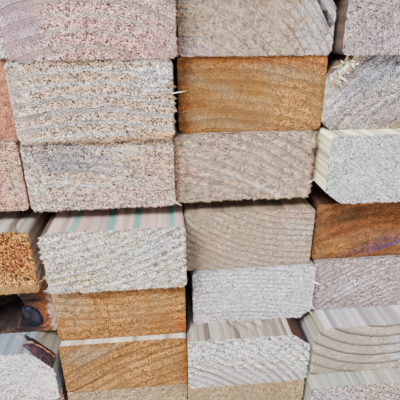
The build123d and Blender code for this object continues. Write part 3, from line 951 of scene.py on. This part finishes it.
def make_weathered_pine():
    """Pine left outdoors: dull, with no gloss, with painted shade in its pits and painted highlight on its
    tufts.
    """
    material, add = new_material("weathered planed pine")
    grain, tear, finish, ring_sizes, light, dark = (
        add(ATTRIBUTE, attribute_name=name).outputs["Vector"] for name in VECTOR_ATTRIBUTES)
    contrast, rough, on_end = add(SEPARATE, {0: finish}).outputs
    gap, line, paint = add(SEPARATE, {0: ring_sizes}).outputs
    standing = add(ATTRIBUTE, attribute_name="standing").outputs["Fac"]
    knot, swirl = knots_on_faces(add, grain, on_end)
    band, edge, strength = growth_rings(add, grain, swirl, gap, line)
    tip_highlight, pit_shade, height = torn_tufts(add, tear, standing)
    shown = add(MATH, {0: strength, 1: contrast}, operation="MULTIPLY")
    summer = add(MATH, {0: band, 1: shown}, operation="MULTIPLY")
    edge_line_and_shadow = add(MATH, {0: edge, 1: shown}, operation="MULTIPLY")
    colour = end_grain(add, light, dark, summer, edge_line_and_shadow, rough, tip_highlight, pit_shade)
    colour = marked(add, weathered(add, colour, grain, on_end, contrast), knot, paint, height)
    deepened = add("ShaderNodeGamma", {"Color": colour, "Gamma": COLOUR_DEPTH})
    bump_share = add(MATH, {0: rough, 1: LEAST_BUMP}, operation="ADD")
    bump_height = add(MATH, {0: height, 1: bump_share}, operation="MULTIPLY")
    raised = add(MATH, {0: summer, 1: RING_BUMP, 2: bump_height}, operation="MULTIPLY_ADD")
    bump = add(BUMP, {"Height": raised, "Distance": BUMP_DEPTH, "Strength": 1.0})
    shader = add(SHADER, {"Base Color": deepened, "Roughness": PINE_ROUGHNESS,
                          "Specular IOR Level": PINE_GLINT, "Normal": bump})
    add(OUTPUT, {"Surface": shader})
    return material


weathered_pine = make_weathered_pine()
print("nodes in the pine material:", len(weathered_pine.node_tree.nodes))

# %% Make the studs
studs = [make_stud(name.removeprefix("stud_"), order) for order, name in enumerate(stud_names)]
print("triangles in the studs:", sum(sum(len(p.vertices) - 2 for p in s.data.polygons) for s in studs))

# %% [markdown]
# ## Torn fibres
# A circular saw tears softer fibres instead of cutting them, and they stand up as short, pale curls, most of
# all along the edge where the blade leaves the wood. There are tens of thousands of them. They could be hair
# or painted bump, but Geometry Nodes that scatter one small tapered fibre over the sawn ends give real
# shapes, follow how torn each end is, and keep the colour of the wood that each fibre grows from.

# %% Colour of the torn fibres
FIBRE_GAIN, MOTTLE_SIZE = (1.7, 1.7, 1.65, 1), 1.5 * MM


def make_fibre_pine():
    """Torn pine fibre is dry and pale, because its broken cells scatter light."""
    material, add = new_material("torn pine fibre")
    fibre_wood = add(ATTRIBUTE, attribute_name="wood_light").outputs["Vector"]
    pale = add(MIX, {0: 1.0, 6: fibre_wood, 7: FIBRE_GAIN}, data_type="RGBA",
               blend_type="MULTIPLY", clamp_result=True)
    place = add(PLACES).outputs["Object"]
    mottle = add(NOISE, {"Vector": place, "Scale": 1 / MOTTLE_SIZE}).outputs["Fac"]
    shade = add(RANGE, {0: mottle, 1: 0.35, 2: 0.65, 3: 0.75, 4: 1.1})
    colour = add(VECTOR_MATH, {0: pale, 3: shade}, operation="SCALE")
    deepened = add("ShaderNodeGamma", {"Color": colour, "Gamma": COLOUR_DEPTH})
    shader = add(SHADER, {"Base Color": deepened, "Roughness": 0.9, "Specular IOR Level": 0.2})
    add(OUTPUT, {"Surface": shader})
    return material


torn_fibre = make_fibre_pine()

# %% Tree that scatters fibres
FIBRE_INPUTS = {"Sawn ends": "Geometry", "Fibres per square metre": "Float", "Fibre length": "Float",
                "Fibre width": "Float", "Spread": "Float", "Seed": "Int", "Material": "Material"}
LEAST_FIBRE, LARGEST_FIBRE = (0.6, 0.6, 0.5), (1.3, 1.3, 1.5)
NAMED, RANDOM = "GeometryNodeInputNamedAttribute", "FunctionNodeRandomValue"


def make_fibre_tree():
    """Node tree that grows tapered fibres from a sawn end, where its tuft attribute says so."""
    tree = bpy.data.node_groups.new("torn fibres", "GeometryNodeTree")
    add = partial(add_node, tree)
    for name, kind in FIBRE_INPUTS.items():
        tree.interface.new_socket(name, in_out="INPUT", socket_type=f"NodeSocket{kind}")
    tree.interface.new_socket("Fibres", in_out="OUTPUT", socket_type="NodeSocketGeometry")
    given = add("NodeGroupInput").outputs
    tuft = add(NAMED, {"Name": "tuft"}, data_type="FLOAT").outputs[0]
    lean = add(NAMED, {"Name": "lean"}, data_type="FLOAT_VECTOR").outputs[0]
    density = add(MATH, {0: tuft, 1: given["Fibres per square metre"]}, operation="MULTIPLY")
    roots = add("GeometryNodeDistributePointsOnFaces",
                {"Mesh": given["Sawn ends"], "Density": density, "Seed": given["Seed"]})
    half_width = add(MATH, {0: given["Fibre width"], 1: 0.5}, operation="MULTIPLY")
    fibre = add("GeometryNodeMeshCone", {"Vertices": 3, "Side Segments": 1, "Radius Top": 0.0,
                                         "Radius Bottom": half_width, "Depth": given["Fibre length"]})
    scatter = add(RANDOM, {0: (-1, -1, -1), 1: (1, 1, 1), "Seed": given["Seed"]},
                  data_type="FLOAT_VECTOR").outputs[0]
    spread = add(VECTOR_MATH, {0: scatter, 3: given["Spread"]}, operation="SCALE")
    way = add(VECTOR_MATH, {0: lean, 1: spread}, operation="ADD")
    turn = add("FunctionNodeAlignRotationToVector", {"Vector": way}, axis="Z")
    size = add(RANDOM, {0: LEAST_FIBRE, 1: LARGEST_FIBRE}, data_type="FLOAT_VECTOR").outputs[0]
    grown = add("GeometryNodeInstanceOnPoints",
                {"Points": roots.outputs["Points"], "Instance": fibre.outputs["Mesh"],
                 "Rotation": turn, "Scale": size})
    real = add("GeometryNodeRealizeInstances", {"Geometry": grown})
    finished = add("GeometryNodeSetMaterial", {"Geometry": real, "Material": given["Material"]})
    add("NodeGroupOutput", {0: finished})
    return tree


fibre_tree = make_fibre_tree()
fibre_inputs = [item for item in fibre_tree.interface.items_tree if item.in_out == "INPUT"]
identifiers = {item.name: item.identifier for item in fibre_inputs}
print("inputs of the fibre tree:", list(identifiers))

# %% Where fibres grow
FINE_DENSITY, PLAIN_DENSITY = 0.8e6, 0.12e6
FIBRE_LENGTH, FIBRE_WIDTH, FIBRE_SPREAD = 1.3 * MM, 0.42 * MM, 0.75
FRINGE_WIDTH, FRINGE_BOOST, FRINGE_LEAN = 2.2, 3.0, 2.5
OUTWARD_LEAN, BARE_RINGS, TORN_POWER, TUFT_MOST = 0.55, 0.7, 1.5, 4


def fringe_share(x, z, look):
    """How near each point is to a ragged edge, and the way out over that edge."""
    left, right_edge, upper, lower = look["ragged"]
    near_right = right_edge * smooth_step(x, HALF_WIDTH - FRINGE_WIDTH, HALF_WIDTH)
    near_left = left * smooth_step(-x, HALF_WIDTH - FRINGE_WIDTH, HALF_WIDTH)
    near_top = upper * smooth_step(z, HALF_THICKNESS - FRINGE_WIDTH, HALF_THICKNESS)
    near_bottom = lower * smooth_step(-z, HALF_THICKNESS - FRINGE_WIDTH, HALF_THICKNESS)
    share = np.maximum.reduce([near_right, near_left, near_top, near_bottom])
    return share, near_right - near_left, near_top - near_bottom


def fibre_bed(name, order, at_far_end):
    """Points, faces, tufts, lean and colour of one sawn end, for fibres to grow from."""
    look = look_of(name, order)
    middle_x, middle_z, near_y, length = stud_frame(name)
    end = far_end(look, length) if at_far_end else near_end(name, look)
    x, z = end["x"].ravel(), end["z"].ravel()
    along = (length - end["depth"] if at_far_end else end["depth"]).ravel()
    outward = 1.0 if at_far_end else -1.0
    fringe, out_x, out_z = fringe_share(x, z, look)
    in_band = 1 - look["rings"] * BARE_RINGS * ring_shade(x, z, look)
    tuft = look["fuzz"] * end["torn"].ravel() ** TORN_POWER * in_band + FRINGE_BOOST * fringe
    angle = math.radians(look["tear"])
    lean = np.stack([math.cos(angle) + FRINGE_LEAN * out_x, np.full(len(x), OUTWARD_LEAN * outward),
                     math.sin(angle) + FRINGE_LEAN * out_z], axis=1)
    density = FINE_DENSITY if name in LOOKS and not at_far_end else PLAIN_DENSITY
    tuft = np.clip(tuft, 0, TUFT_MOST) * (density / FINE_DENSITY)
    colour = stained(x, z, look, look["light"])
    if at_far_end:
        colour[:] = wood(look["sides"])
    places = np.stack([x + middle_x, along + near_y, z + middle_z], axis=1) * MM
    faces = grid_faces(0, len(end["columns"]), len(end["rows"]), at_far_end)
    return places, faces, tuft, lean, colour


# %% Fibres on the sawn ends of each layer
FIBRE_SEED = 60


def make_fibres(layer):
    """The torn fibres on both ends of the studs of one layer, as one plain mesh."""
    beds = [fibre_bed(name.removeprefix("stud_"), order, at_far_end) for order, name in enumerate(stud_names)
            if name.startswith(f"stud_{layer}") for at_far_end in (False, True)]
    places, bed_faces, tufts, leans, colours = zip(*beds)
    starts = np.cumsum([0] + [len(end) for end in places]).tolist()
    faces = [[corner + start for corner in face] for end, start in zip(bed_faces, starts) for face in end]
    mesh = bpy.data.meshes.new("sawn ends")
    mesh.from_pydata(np.concatenate(places).tolist(), [], faces)
    write_attribute(mesh, "tuft", "FLOAT", np.concatenate(tufts))
    write_attribute(mesh, "lean", "FLOAT_VECTOR", np.concatenate(leans))
    write_attribute(mesh, "wood_light", "FLOAT_COLOR", np.concatenate(colours))
    bed = bpy.data.objects.new("sawn ends", mesh)
    bpy.context.collection.objects.link(bed)
    modifier = bed.modifiers.new("torn fibres", "NODES")
    modifier.node_group = fibre_tree
    values = {"Fibres per square metre": FINE_DENSITY, "Fibre length": FIBRE_LENGTH,
              "Fibre width": FIBRE_WIDTH, "Spread": FIBRE_SPREAD, "Seed": FIBRE_SEED + layer,
              "Material": torn_fibre}
    for name, value in values.items():
        modifier[identifiers[name]] = value
    grown = bpy.data.meshes.new_from_object(bed.evaluated_get(bpy.context.evaluated_depsgraph_get()))
    bpy.data.objects.remove(bed)
    return add_wood(f"torn_fibres_layer_{layer}", grown)


fibre_layers = [make_fibres(layer) for layer in range(1, 9)]
for fibres in fibre_layers:
    print(fibres.name, "triangles:", sum(len(p.vertices) - 2 for p in fibres.data.polygons))

# %% [markdown]
# ## Loose splinters
# Here and there a whole sliver has torn loose at an edge: one long whisker, a wedge at a corner, a tuft
# where the saw met the bark. The few slivers each have their own place, so they are listed one by one as
# short bent spikes, in millimetres from the middle of their stud's end; the straws of the tuft are drawn at
# random over the wane.

# %% Where splinters stand: stud, root, tip, width and tone
SPLINTERS = [
    ("6c", (44.5, -0.5, 4), (52.5, -2.5, 5.5), 0.5, "cream"),
    ("4c", (-44, 0, -9), (-53, -2, -12.5), 0.5, "tan"),
    ("4c", (-44, 0, -19), (-48, -2, -17.5), 0.7, "milk"),
    ("5c", (42, 0, -17), (49.5, -1, -22.5), 1.6, "oat"),
    ("3d", (44, 0, 9), (48.5, -2, 8), 1.3, "cream"),
    ("3d", (43.5, 0, -8), (48, -2, -15.5), 2, "cream"),
    ("3d", (42, 0, -16), (46, -2, -20.5), 1.2, "milk"),
    ("5d", (43, 0, -12), (46, -2, -9), 0.8, "milk"),
    ("6e", (-37.5, 0, 18), (-46.5, -4, 16), 2, "straw"),
    ("6e", (-36, 0, 18), (-37.5, -3, 24), 1.5, "straw"),
    ("6e", (-33, 0, 17.5), (-30.5, -3, 24), 1.5, "milk"),
    ("6e", (-31.5, 0, 18.5), (-28, -4, 23), 1, "tan"),
]
STRAW_COUNT, STRAW_TONES = 150, ("straw", "milk", "biscuit", "cream")
WANE_START, WANE_RUN = np.array([-43.5, 0, 6]), np.array([13, 0, 14])


def wane_straws():
    """Short straws over the torn wane of stud 6e, where the saw pulled the bark side apart."""
    draw = np.random.RandomState(66)
    straws = []
    for _ in range(STRAW_COUNT):
        root = WANE_START + WANE_RUN * draw.uniform(0, 1) + (0, draw.uniform(-1, 3), 0)
        root = root + draw.uniform(-2, 2, 3)
        way = np.array([draw.uniform(-1, 0.7), draw.uniform(-1.0, -0.2), draw.uniform(-0.8, 1)])
        tip = root + way * draw.uniform(2, 6)
        width, tone = draw.uniform(0.8, 1.7), STRAW_TONES[draw.randint(len(STRAW_TONES))]
        straws.append(("6e", root, tip, width, tone))
    return straws


# %% Splinters
SPIKE_RINGS = ((-0.12, 0.6), (0.25, 1.0), (0.65, 0.7))
SPIKE_TURNS = (0, math.pi / 2, math.pi, 1.5 * math.pi)
SPIKE_BOW, SPIKE_FLATNESS = 0.5, 0.6
SIDES = ((0, 1), (1, 2), (2, 3), (3, 0))
SPIKE_FACES = [[3, 2, 1, 0]]
SPIKE_FACES += [[ring + a, ring + b, ring + 4 + b, ring + 4 + a] for ring in (0, 4) for a, b in SIDES]
SPIKE_FACES += [[8 + a, 8 + b, 12] for a, b in SIDES]


def toned_wood(name, points, faces, tones, material):
    """A piece from points in millimetres that each have a tone, with all its faces turned outward."""
    mesh = bpy.data.meshes.new(name)
    mesh.from_pydata((np.array(points) * MM).tolist(), [], faces)
    write_attribute(mesh, "wood_light", "FLOAT_COLOR", tones)
    shaped = bmesh.new()
    shaped.from_mesh(mesh)
    bmesh.ops.recalc_face_normals(shaped, faces=shaped.faces)
    shaped.to_mesh(mesh)
    shaped.free()
    mesh.materials.append(material)
    return add_wood(name, mesh)


def make_splinters(splinters):
    """All splinters as bent spikes of three rings and a tip, in one mesh with their tones."""
    points, faces, tones = [], [], []
    draw = np.random.RandomState(5)
    for name, root, tip, width, tone in splinters:
        middle_x, middle_z, near_y, _ = stud_frame(name)
        origin = np.array([middle_x, near_y, middle_z])
        root, tip = np.array(root) + origin, np.array(tip) + origin
        run = tip - root
        side = np.cross(run, draw.uniform(-1, 1, 3))
        side /= np.linalg.norm(side)
        up = np.cross(side, run / np.linalg.norm(run))
        first = len(points)
        for share, girth in SPIKE_RINGS:
            middle = root + run * share + up * width * SPIKE_BOW * math.sin(math.pi * max(share, 0))
            reach = 0.5 * width * girth
            points += [middle + reach * (side * math.cos(turn) + up * SPIKE_FLATNESS * math.sin(turn))
                       for turn in SPIKE_TURNS]
        points.append(tip)
        faces += [[first + corner for corner in face] for face in SPIKE_FACES]
        tones += [wood(tone)] * (len(points) - first)
    return toned_wood("loose_splinters", points, faces, tones, torn_fibre)


loose_splinters = make_splinters(SPLINTERS + wane_straws())
print("splinters:", len(SPLINTERS) + STRAW_COUNT, "with points:", len(loose_splinters.data.vertices))

# %% [markdown]
# ## The dead knot
# Beside the hole in stud 3b sits what is left of the dead branch: hard wood full of resin, which the saw has
# rubbed to a shine. It could be painted on the end, but its glints need a round form, so it is a small
# wrinkled ball, sunk half into the wood.

# %% Dead knot
KNOT_MIDDLE, KNOT_RADII, KNOT_TILT = (29.0, 2.0, -8.5), (7.0, 4.5, 10.5), math.radians(14)
KNOT_TURNS, KNOT_RINGS = 48, 32
KNOT_WRINKLE, WRINKLE_CELL = 0.22, 3.5


def make_knot_resin():
    """Dead branch wood soaked with resin: nearly black with blue depths, and glossy."""
    material, add = new_material("resin-soaked dead knot")
    place = add(PLACES).outputs["Object"]
    depths = add(NOISE, {"Vector": place, "Scale": 1 / (6 * MM), "Detail": 2.0})
    share = add(RANGE, {0: depths, 1: 0.4, 2: 0.65})
    colour = add(MIX, {0: share, 6: linear("#100810"), 7: linear("#242438")}, data_type="RGBA")
    wrinkles = add(NOISE, {"Vector": place, "Scale": 1 / (1.6 * MM), "Detail": 3.0})
    bump = add(BUMP, {"Height": wrinkles, "Distance": 0.8 * MM})
    shader = add(SHADER, {"Base Color": colour, "Roughness": 0.25, "Specular IOR Level": 0.2,
                          "Normal": bump})
    add(OUTPUT, {"Surface": shader})
    return material


def make_dead_knot():
    """The rubbed stump of the dead branch in the end of stud 3b."""
    middle_x, middle_z, near_y, _ = stud_frame("3b")
    shaped = bmesh.new()
    bmesh.ops.create_uvsphere(shaped, u_segments=KNOT_TURNS, v_segments=KNOT_RINGS, radius=1.0)
    ball = np.array([point.co for point in shaped.verts])
    lumps = value_noise(ball[:, 0] * 10, ball[:, 2] * 10 + ball[:, 1] * 6, WRINKLE_CELL, 71)
    wrinkle = 1 + KNOT_WRINKLE * (lumps - 0.5)
    x, y, z = (ball * wrinkle[:, None] * KNOT_RADII).T
    turned_x = x * math.cos(KNOT_TILT) - z * math.sin(KNOT_TILT)
    turned_z = x * math.sin(KNOT_TILT) + z * math.cos(KNOT_TILT)
    place = np.stack([turned_x, y, turned_z], axis=1) + KNOT_MIDDLE + (middle_x, near_y, middle_z)
    for point, spot in zip(shaped.verts, place * MM):
        point.co = spot
    mesh = bpy.data.meshes.new("dead_knot_3b")
    shaped.to_mesh(mesh)
    shaped.free()
    mesh.polygons.foreach_set("use_smooth", [True] * len(mesh.polygons))
    mesh.materials.append(make_knot_resin())
    return add_wood("dead_knot_3b", mesh)


dead_knot = make_dead_knot()
print("points in the dead knot:", len(dead_knot.data.vertices))

# %% [markdown]
# ## Bark on the wane
# Stud 2b was sawn from the outside of its log, and a flake of bark still clings to it over a dark crack. The
# flake and the red inner bark along its far edge are thin plates that follow the round of the log, and so is
# a near-black plate of painted shadow in the crack under the flake.
# Each is spanned between two short lines on the upper face, so a few points give its outline.

# %% Bark flake of stud 2b
PLATE_CELLS, PLATE_LUMP, THINNEST_PLATE, PLATE_SEED = (33, 9), 2.2, 0.05, 80
BARK_PLATES = [
    # The first plate is near-black painted shadow in the crack under the flake.
    ("painted_shade_black", [(22, 20), (27.5, 16), (34.5, 13.5), (41, 12.5), (44.6, 12.2)],
     [(22.5, 18), (26, 13), (33, 11.5), (40.5, 11), (44.6, 10.7)], (0.1, 0.1), 0.25),
    ("bark", [(25, 10), (30, 10.5), (36, 10.5), (41, 10), (44.8, 9.5)],
     [(24, 8), (29, 3), (34.5, 0), (40, -1), (44.8, -1.5)], (0.3, 1.0), 1.8),
    ("brick", [(27, 11), (30, 11.3), (36, 11.3), (41, 10.8), (44.6, 10.3)],
     [(27, 9.2), (30, 9.3), (36, 9), (41, 8.7), (44.6, 8.2)], (0.5, 0.9), 1.2),
]


def upper_surface(x, wane):
    """Height of the upper face across the stud, where the round of the log takes over from the flat."""
    pith, radius = log_outside(wane, 0.0)
    return np.minimum(HALF_THICKNESS, pith[1] + np.sqrt(radius ** 2 - (x - pith[0]) ** 2))


def bark_plate(far_line, near_line, lift, thickness, seed):
    """Upper and lower points of one plate, as two grids of x, along and z."""
    share, across = np.linspace(0, 1, PLATE_CELLS[0])[:, None], np.linspace(0, 1, PLATE_CELLS[1])[None, :]
    stops = np.linspace(0, 1, len(far_line))
    x, along = (np.interp(share, stops, [stop[axis] for stop in far_line]) * (1 - across)
                + np.interp(share, stops, [stop[axis] for stop in near_line]) * across for axis in (0, 1))
    below = upper_surface(x, WANES["2b"][0]) + lift[0] * (1 - across) + lift[1] * across
    lumps = 0.5 + value_noise(x, along, PLATE_LUMP, seed)
    rounded = (0.3 + 0.7 * np.sin(math.pi * across)) * np.sin(math.pi * share) ** 0.4
    above = below + thickness * lumps * rounded + THINNEST_PLATE
    return np.stack([x, along, above], axis=-1), np.stack([x, along, below], axis=-1)


def make_bark():
    """All plates of the flake in one mesh with their tones."""
    middle_x, middle_z, near_y, _ = stud_frame("2b")
    points, faces, tones = [], [], []
    for order, (tone, far_line, near_line, lift, thickness) in enumerate(BARK_PLATES):
        first, count = len(points), PLATE_CELLS[0] * PLATE_CELLS[1]
        for layer in bark_plate(far_line, near_line, lift, thickness, PLATE_SEED + order):
            points += list(layer.reshape(-1, 3) + (middle_x, near_y, middle_z))
        faces += grid_faces(first, *PLATE_CELLS, False) + grid_faces(first + count, *PLATE_CELLS, True)
        rim = [first + c * PLATE_CELLS[1] + r for c, r in once_round(*PLATE_CELLS)]
        faces += [[a, b, b + count, a + count] for a, b in zip(rim, rim[1:] + rim[:1])]
        tones += [wood(tone)] * (2 * count)
    return toned_wood("bark_flake_2b", points, faces, tones, make_clinging_bark())


def make_clinging_bark():
    """Dry pine bark: dark and dull, in thin papery plates with fine cracks between them."""
    material, add = new_material("clinging pine bark")
    tone = add(ATTRIBUTE, attribute_name="wood_light").outputs["Vector"]
    place = add(PLACES).outputs["Object"]
    plates = add(NOISE, {"Vector": place, "Scale": 1 / (2 * MM), "Detail": 3.0})
    shade = add(RANGE, {0: plates, 1: 0.35, 2: 0.65, 3: 0.2, 4: 1.9})
    colour = add(VECTOR_MATH, {0: tone, 3: shade}, operation="SCALE")
    bump = add(BUMP, {"Height": plates, "Distance": 0.5 * MM})
    shader = add(SHADER, {"Base Color": colour, "Roughness": 0.7, "Normal": bump})
    add(OUTPUT, {"Surface": shader})
    return material


bark_flake = make_bark()
print("faces in the bark flake:", len(bark_flake.data.polygons))

# %% [markdown]
# ## Steel straps and seals
# The straps are cold-rolled steel band with a thin black-blue coat that rubs off at the corners, and the
# seals are bare galvanised clips. Both are made whole in the imported model, so they only need their finish:
# fine rolling lines along the band, rubbed bright lines and rust specks over it, and small scratches on the
# clip.

# %% Steel finishes
def make_strap_steel():
    """Cold-rolled band, blued and waxed: dark, half glossy, with rust specks and rubbed bright lines."""
    material, add = new_material("blued strapping steel")
    place = add(PLACES).outputs["Object"]
    long_way = add(MAPPING, {"Vector": place, "Scale": (0.03, 1, 0.03)})
    lines = add(NOISE, {"Vector": long_way, "Scale": 1 / (0.8 * MM), "Detail": 3.0})
    rust = add(NOISE, {"Vector": place, "Scale": 1 / (14 * MM), "Detail": 6.0})
    rusted = add(RANGE, {0: rust.outputs["Fac"], 1: 0.56, 2: 0.66})
    worn = add(RANGE, {0: lines.outputs["Fac"], 1: 0.58, 2: 0.7})
    blued = add(MIX, {0: worn, 6: linear("#3B4048"), 7: linear("#7C8188")}, data_type="RGBA")
    colour = add(MIX, {0: rusted, 6: blued, 7: linear("#7A4A2C")}, data_type="RGBA")
    metal = add(RANGE, {0: rusted, 1: 0.0, 2: 1.0, 3: 0.85, 4: 0.1})
    rough = add(RANGE, {0: rusted, 1: 0.0, 2: 1.0, 3: 0.38, 4: 0.85})
    bump = add(BUMP, {"Height": lines.outputs["Fac"], "Distance": 0.03 * MM})
    shader = add(SHADER, {"Base Color": colour, "Metallic": metal, "Roughness": rough, "Normal": bump})
    add(OUTPUT, {"Surface": shader})
    return material


def make_seal_steel():
    """Galvanised clip: pale grey zinc with a faint spangle and fine scratches from the crimping tool."""
    material, add = new_material("galvanised seal steel")
    place = add(PLACES).outputs["Object"]
    spangle = add(CELLS, {"Vector": place, "Scale": 1 / (4 * MM)})
    tone = add("ShaderNodeSeparateColor", {0: spangle.outputs["Color"]}).outputs[0]
    colour = add(MIX, {0: tone, 6: linear("#8F9498"), 7: linear("#B9BDBF")}, data_type="RGBA")
    scratch_way = add(MAPPING, {"Vector": place, "Scale": (0.1, 1, 1)})
    scratches = add(NOISE, {"Vector": scratch_way, "Scale": 1 / (0.5 * MM), "Detail": 2.0})
    rough = add(RANGE, {0: scratches.outputs["Fac"], 1: 0.3, 2: 0.7, 3: 0.32, 4: 0.55})
    bump = add(BUMP, {"Height": scratches.outputs["Fac"], "Distance": 0.05 * MM})
    shader = add(SHADER, {"Base Color": colour, "Metallic": 1.0, "Roughness": rough, "Normal": bump})
    add(OUTPUT, {"Surface": shader})
    return material


# %% [markdown]
# ## Sawn tie laths
# The laths are offcuts sawn rough and left undried: pale, with furry saw lines across them and the odd dark
# streak. They show only at the two sides of the bundle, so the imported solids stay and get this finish.

# %% Lath finish and where the finishes go
SAW_LINE_PITCH = 2.6 * MM
WAVE_SCALE = 0.314 / SAW_LINE_PITCH


def make_sawn_lath():
    """Pine straight from the saw: rough and dull, with saw lines across the strip."""
    material, add = new_material("rough sawn pine")
    place = add(PLACES).outputs["Object"]
    long_way = add(MAPPING, {"Vector": place, "Scale": (0.04, 1, 1)})
    grain = add(NOISE, {"Vector": long_way, "Scale": 1 / (3 * MM), "Detail": 4.0})
    saw = add("ShaderNodeTexWave", {"Vector": place, "Scale": WAVE_SCALE, "Distortion": 1.5, "Detail": 2.0},
              bands_direction="X")
    tone = add(RANGE, {0: grain.outputs["Fac"], 1: 0.35, 2: 0.68})
    colour = add(MIX, {0: tone, 6: linear("#C9AE88"), 7: linear("#8C6A45")}, data_type="RGBA")
    lined = add(RANGE, {0: saw.outputs["Fac"], 3: 0.82, 4: 1.05})
    shaded = add(VECTOR_MATH, {0: colour, 3: lined}, operation="SCALE")
    height = add(MATH, {0: saw.outputs["Fac"], 1: grain.outputs["Fac"]}, operation="ADD")
    bump = add(BUMP, {"Height": height, "Distance": 0.3 * MM})
    shader = add(SHADER, {"Base Color": shaded, "Roughness": 0.9, "Normal": bump})
    add(OUTPUT, {"Surface": shader})
    return material


finishes = {"strap_seal_": make_seal_steel(), "strap_": make_strap_steel(), "tie_lath_": make_sawn_lath()}
for name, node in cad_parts.items():
    start = next((start for start in finishes if name.startswith(start)), None)
    if start:
        for slot in node.material_slots:
            slot.material = finishes[start]
print("nodes with a finish of their own:", sum(not name.startswith("stud_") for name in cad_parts))

# %% [markdown]
# ## Floor and light
# The floor is plain and pale. A pale sky lights everything evenly, as on an overcast day, and one wide soft
# light stands in front and above, where the open yard would be. A sky picture would light it as well, but it
# would be one more file to keep, and this scene stands alone.

# %% Floor and light
FLOOR_REACH = 20.0
SKY_LOW, SKY_HIGH, SKY_COLOUR = 0.27, 1.45, (0.93, 0.96, 1.0, 1)


def make_stage():
    """A plain pale floor that reaches past every view."""
    corners = [(-1, -1), (1, -1), (1, 1), (-1, 1)]
    mesh = bpy.data.meshes.new("floor")
    mesh.from_pydata([(FLOOR_REACH * x, FLOOR_REACH * y, 0) for x, y in corners], [], [(0, 1, 2, 3)])
    floor = bpy.data.objects.new("floor", mesh)
    bpy.context.collection.objects.link(floor)
    material, add = new_material("plain pale floor")
    shader = add(SHADER, {"Base Color": linear("#D9D7D3"), "Roughness": 0.8})
    add(OUTPUT, {"Surface": shader})
    mesh.materials.append(material)


def make_light(name, place, target, size, watts):
    """A round, soft light at a place in metres, turned to its target."""
    light = bpy.data.lights.new(name, "AREA")
    light.shape, light.size, light.energy = "DISK", size, watts
    lamp = bpy.data.objects.new(name, light)
    bpy.context.collection.objects.link(lamp)
    lamp.location = place
    lamp.rotation_euler = (Vector(target) - Vector(place)).to_track_quat("-Z", "Y").to_euler()


def make_sky():
    """A pale sky that is brightest overhead and dim towards the ground."""
    world = bpy.data.worlds.new("overcast sky")
    bpy.context.scene.world = world
    world.use_nodes = True
    world.node_tree.nodes.clear()
    add = partial(add_node, world.node_tree)
    place = add(PLACES).outputs["Generated"]
    height = add(SEPARATE, {0: place}).outputs["Z"]
    strength = add(RANGE, {0: height, 1: -0.1, 2: 0.8, 3: SKY_LOW, 4: SKY_HIGH})
    sky = add("ShaderNodeBackground", {"Color": SKY_COLOUR, "Strength": strength})
    add("ShaderNodeOutputWorld", {"Surface": sky})


make_stage()
make_light("open yard", place=(-1.1, -2.7, 2.2), target=(0, -1.2, 0.2), size=1.0, watts=200)
make_sky()
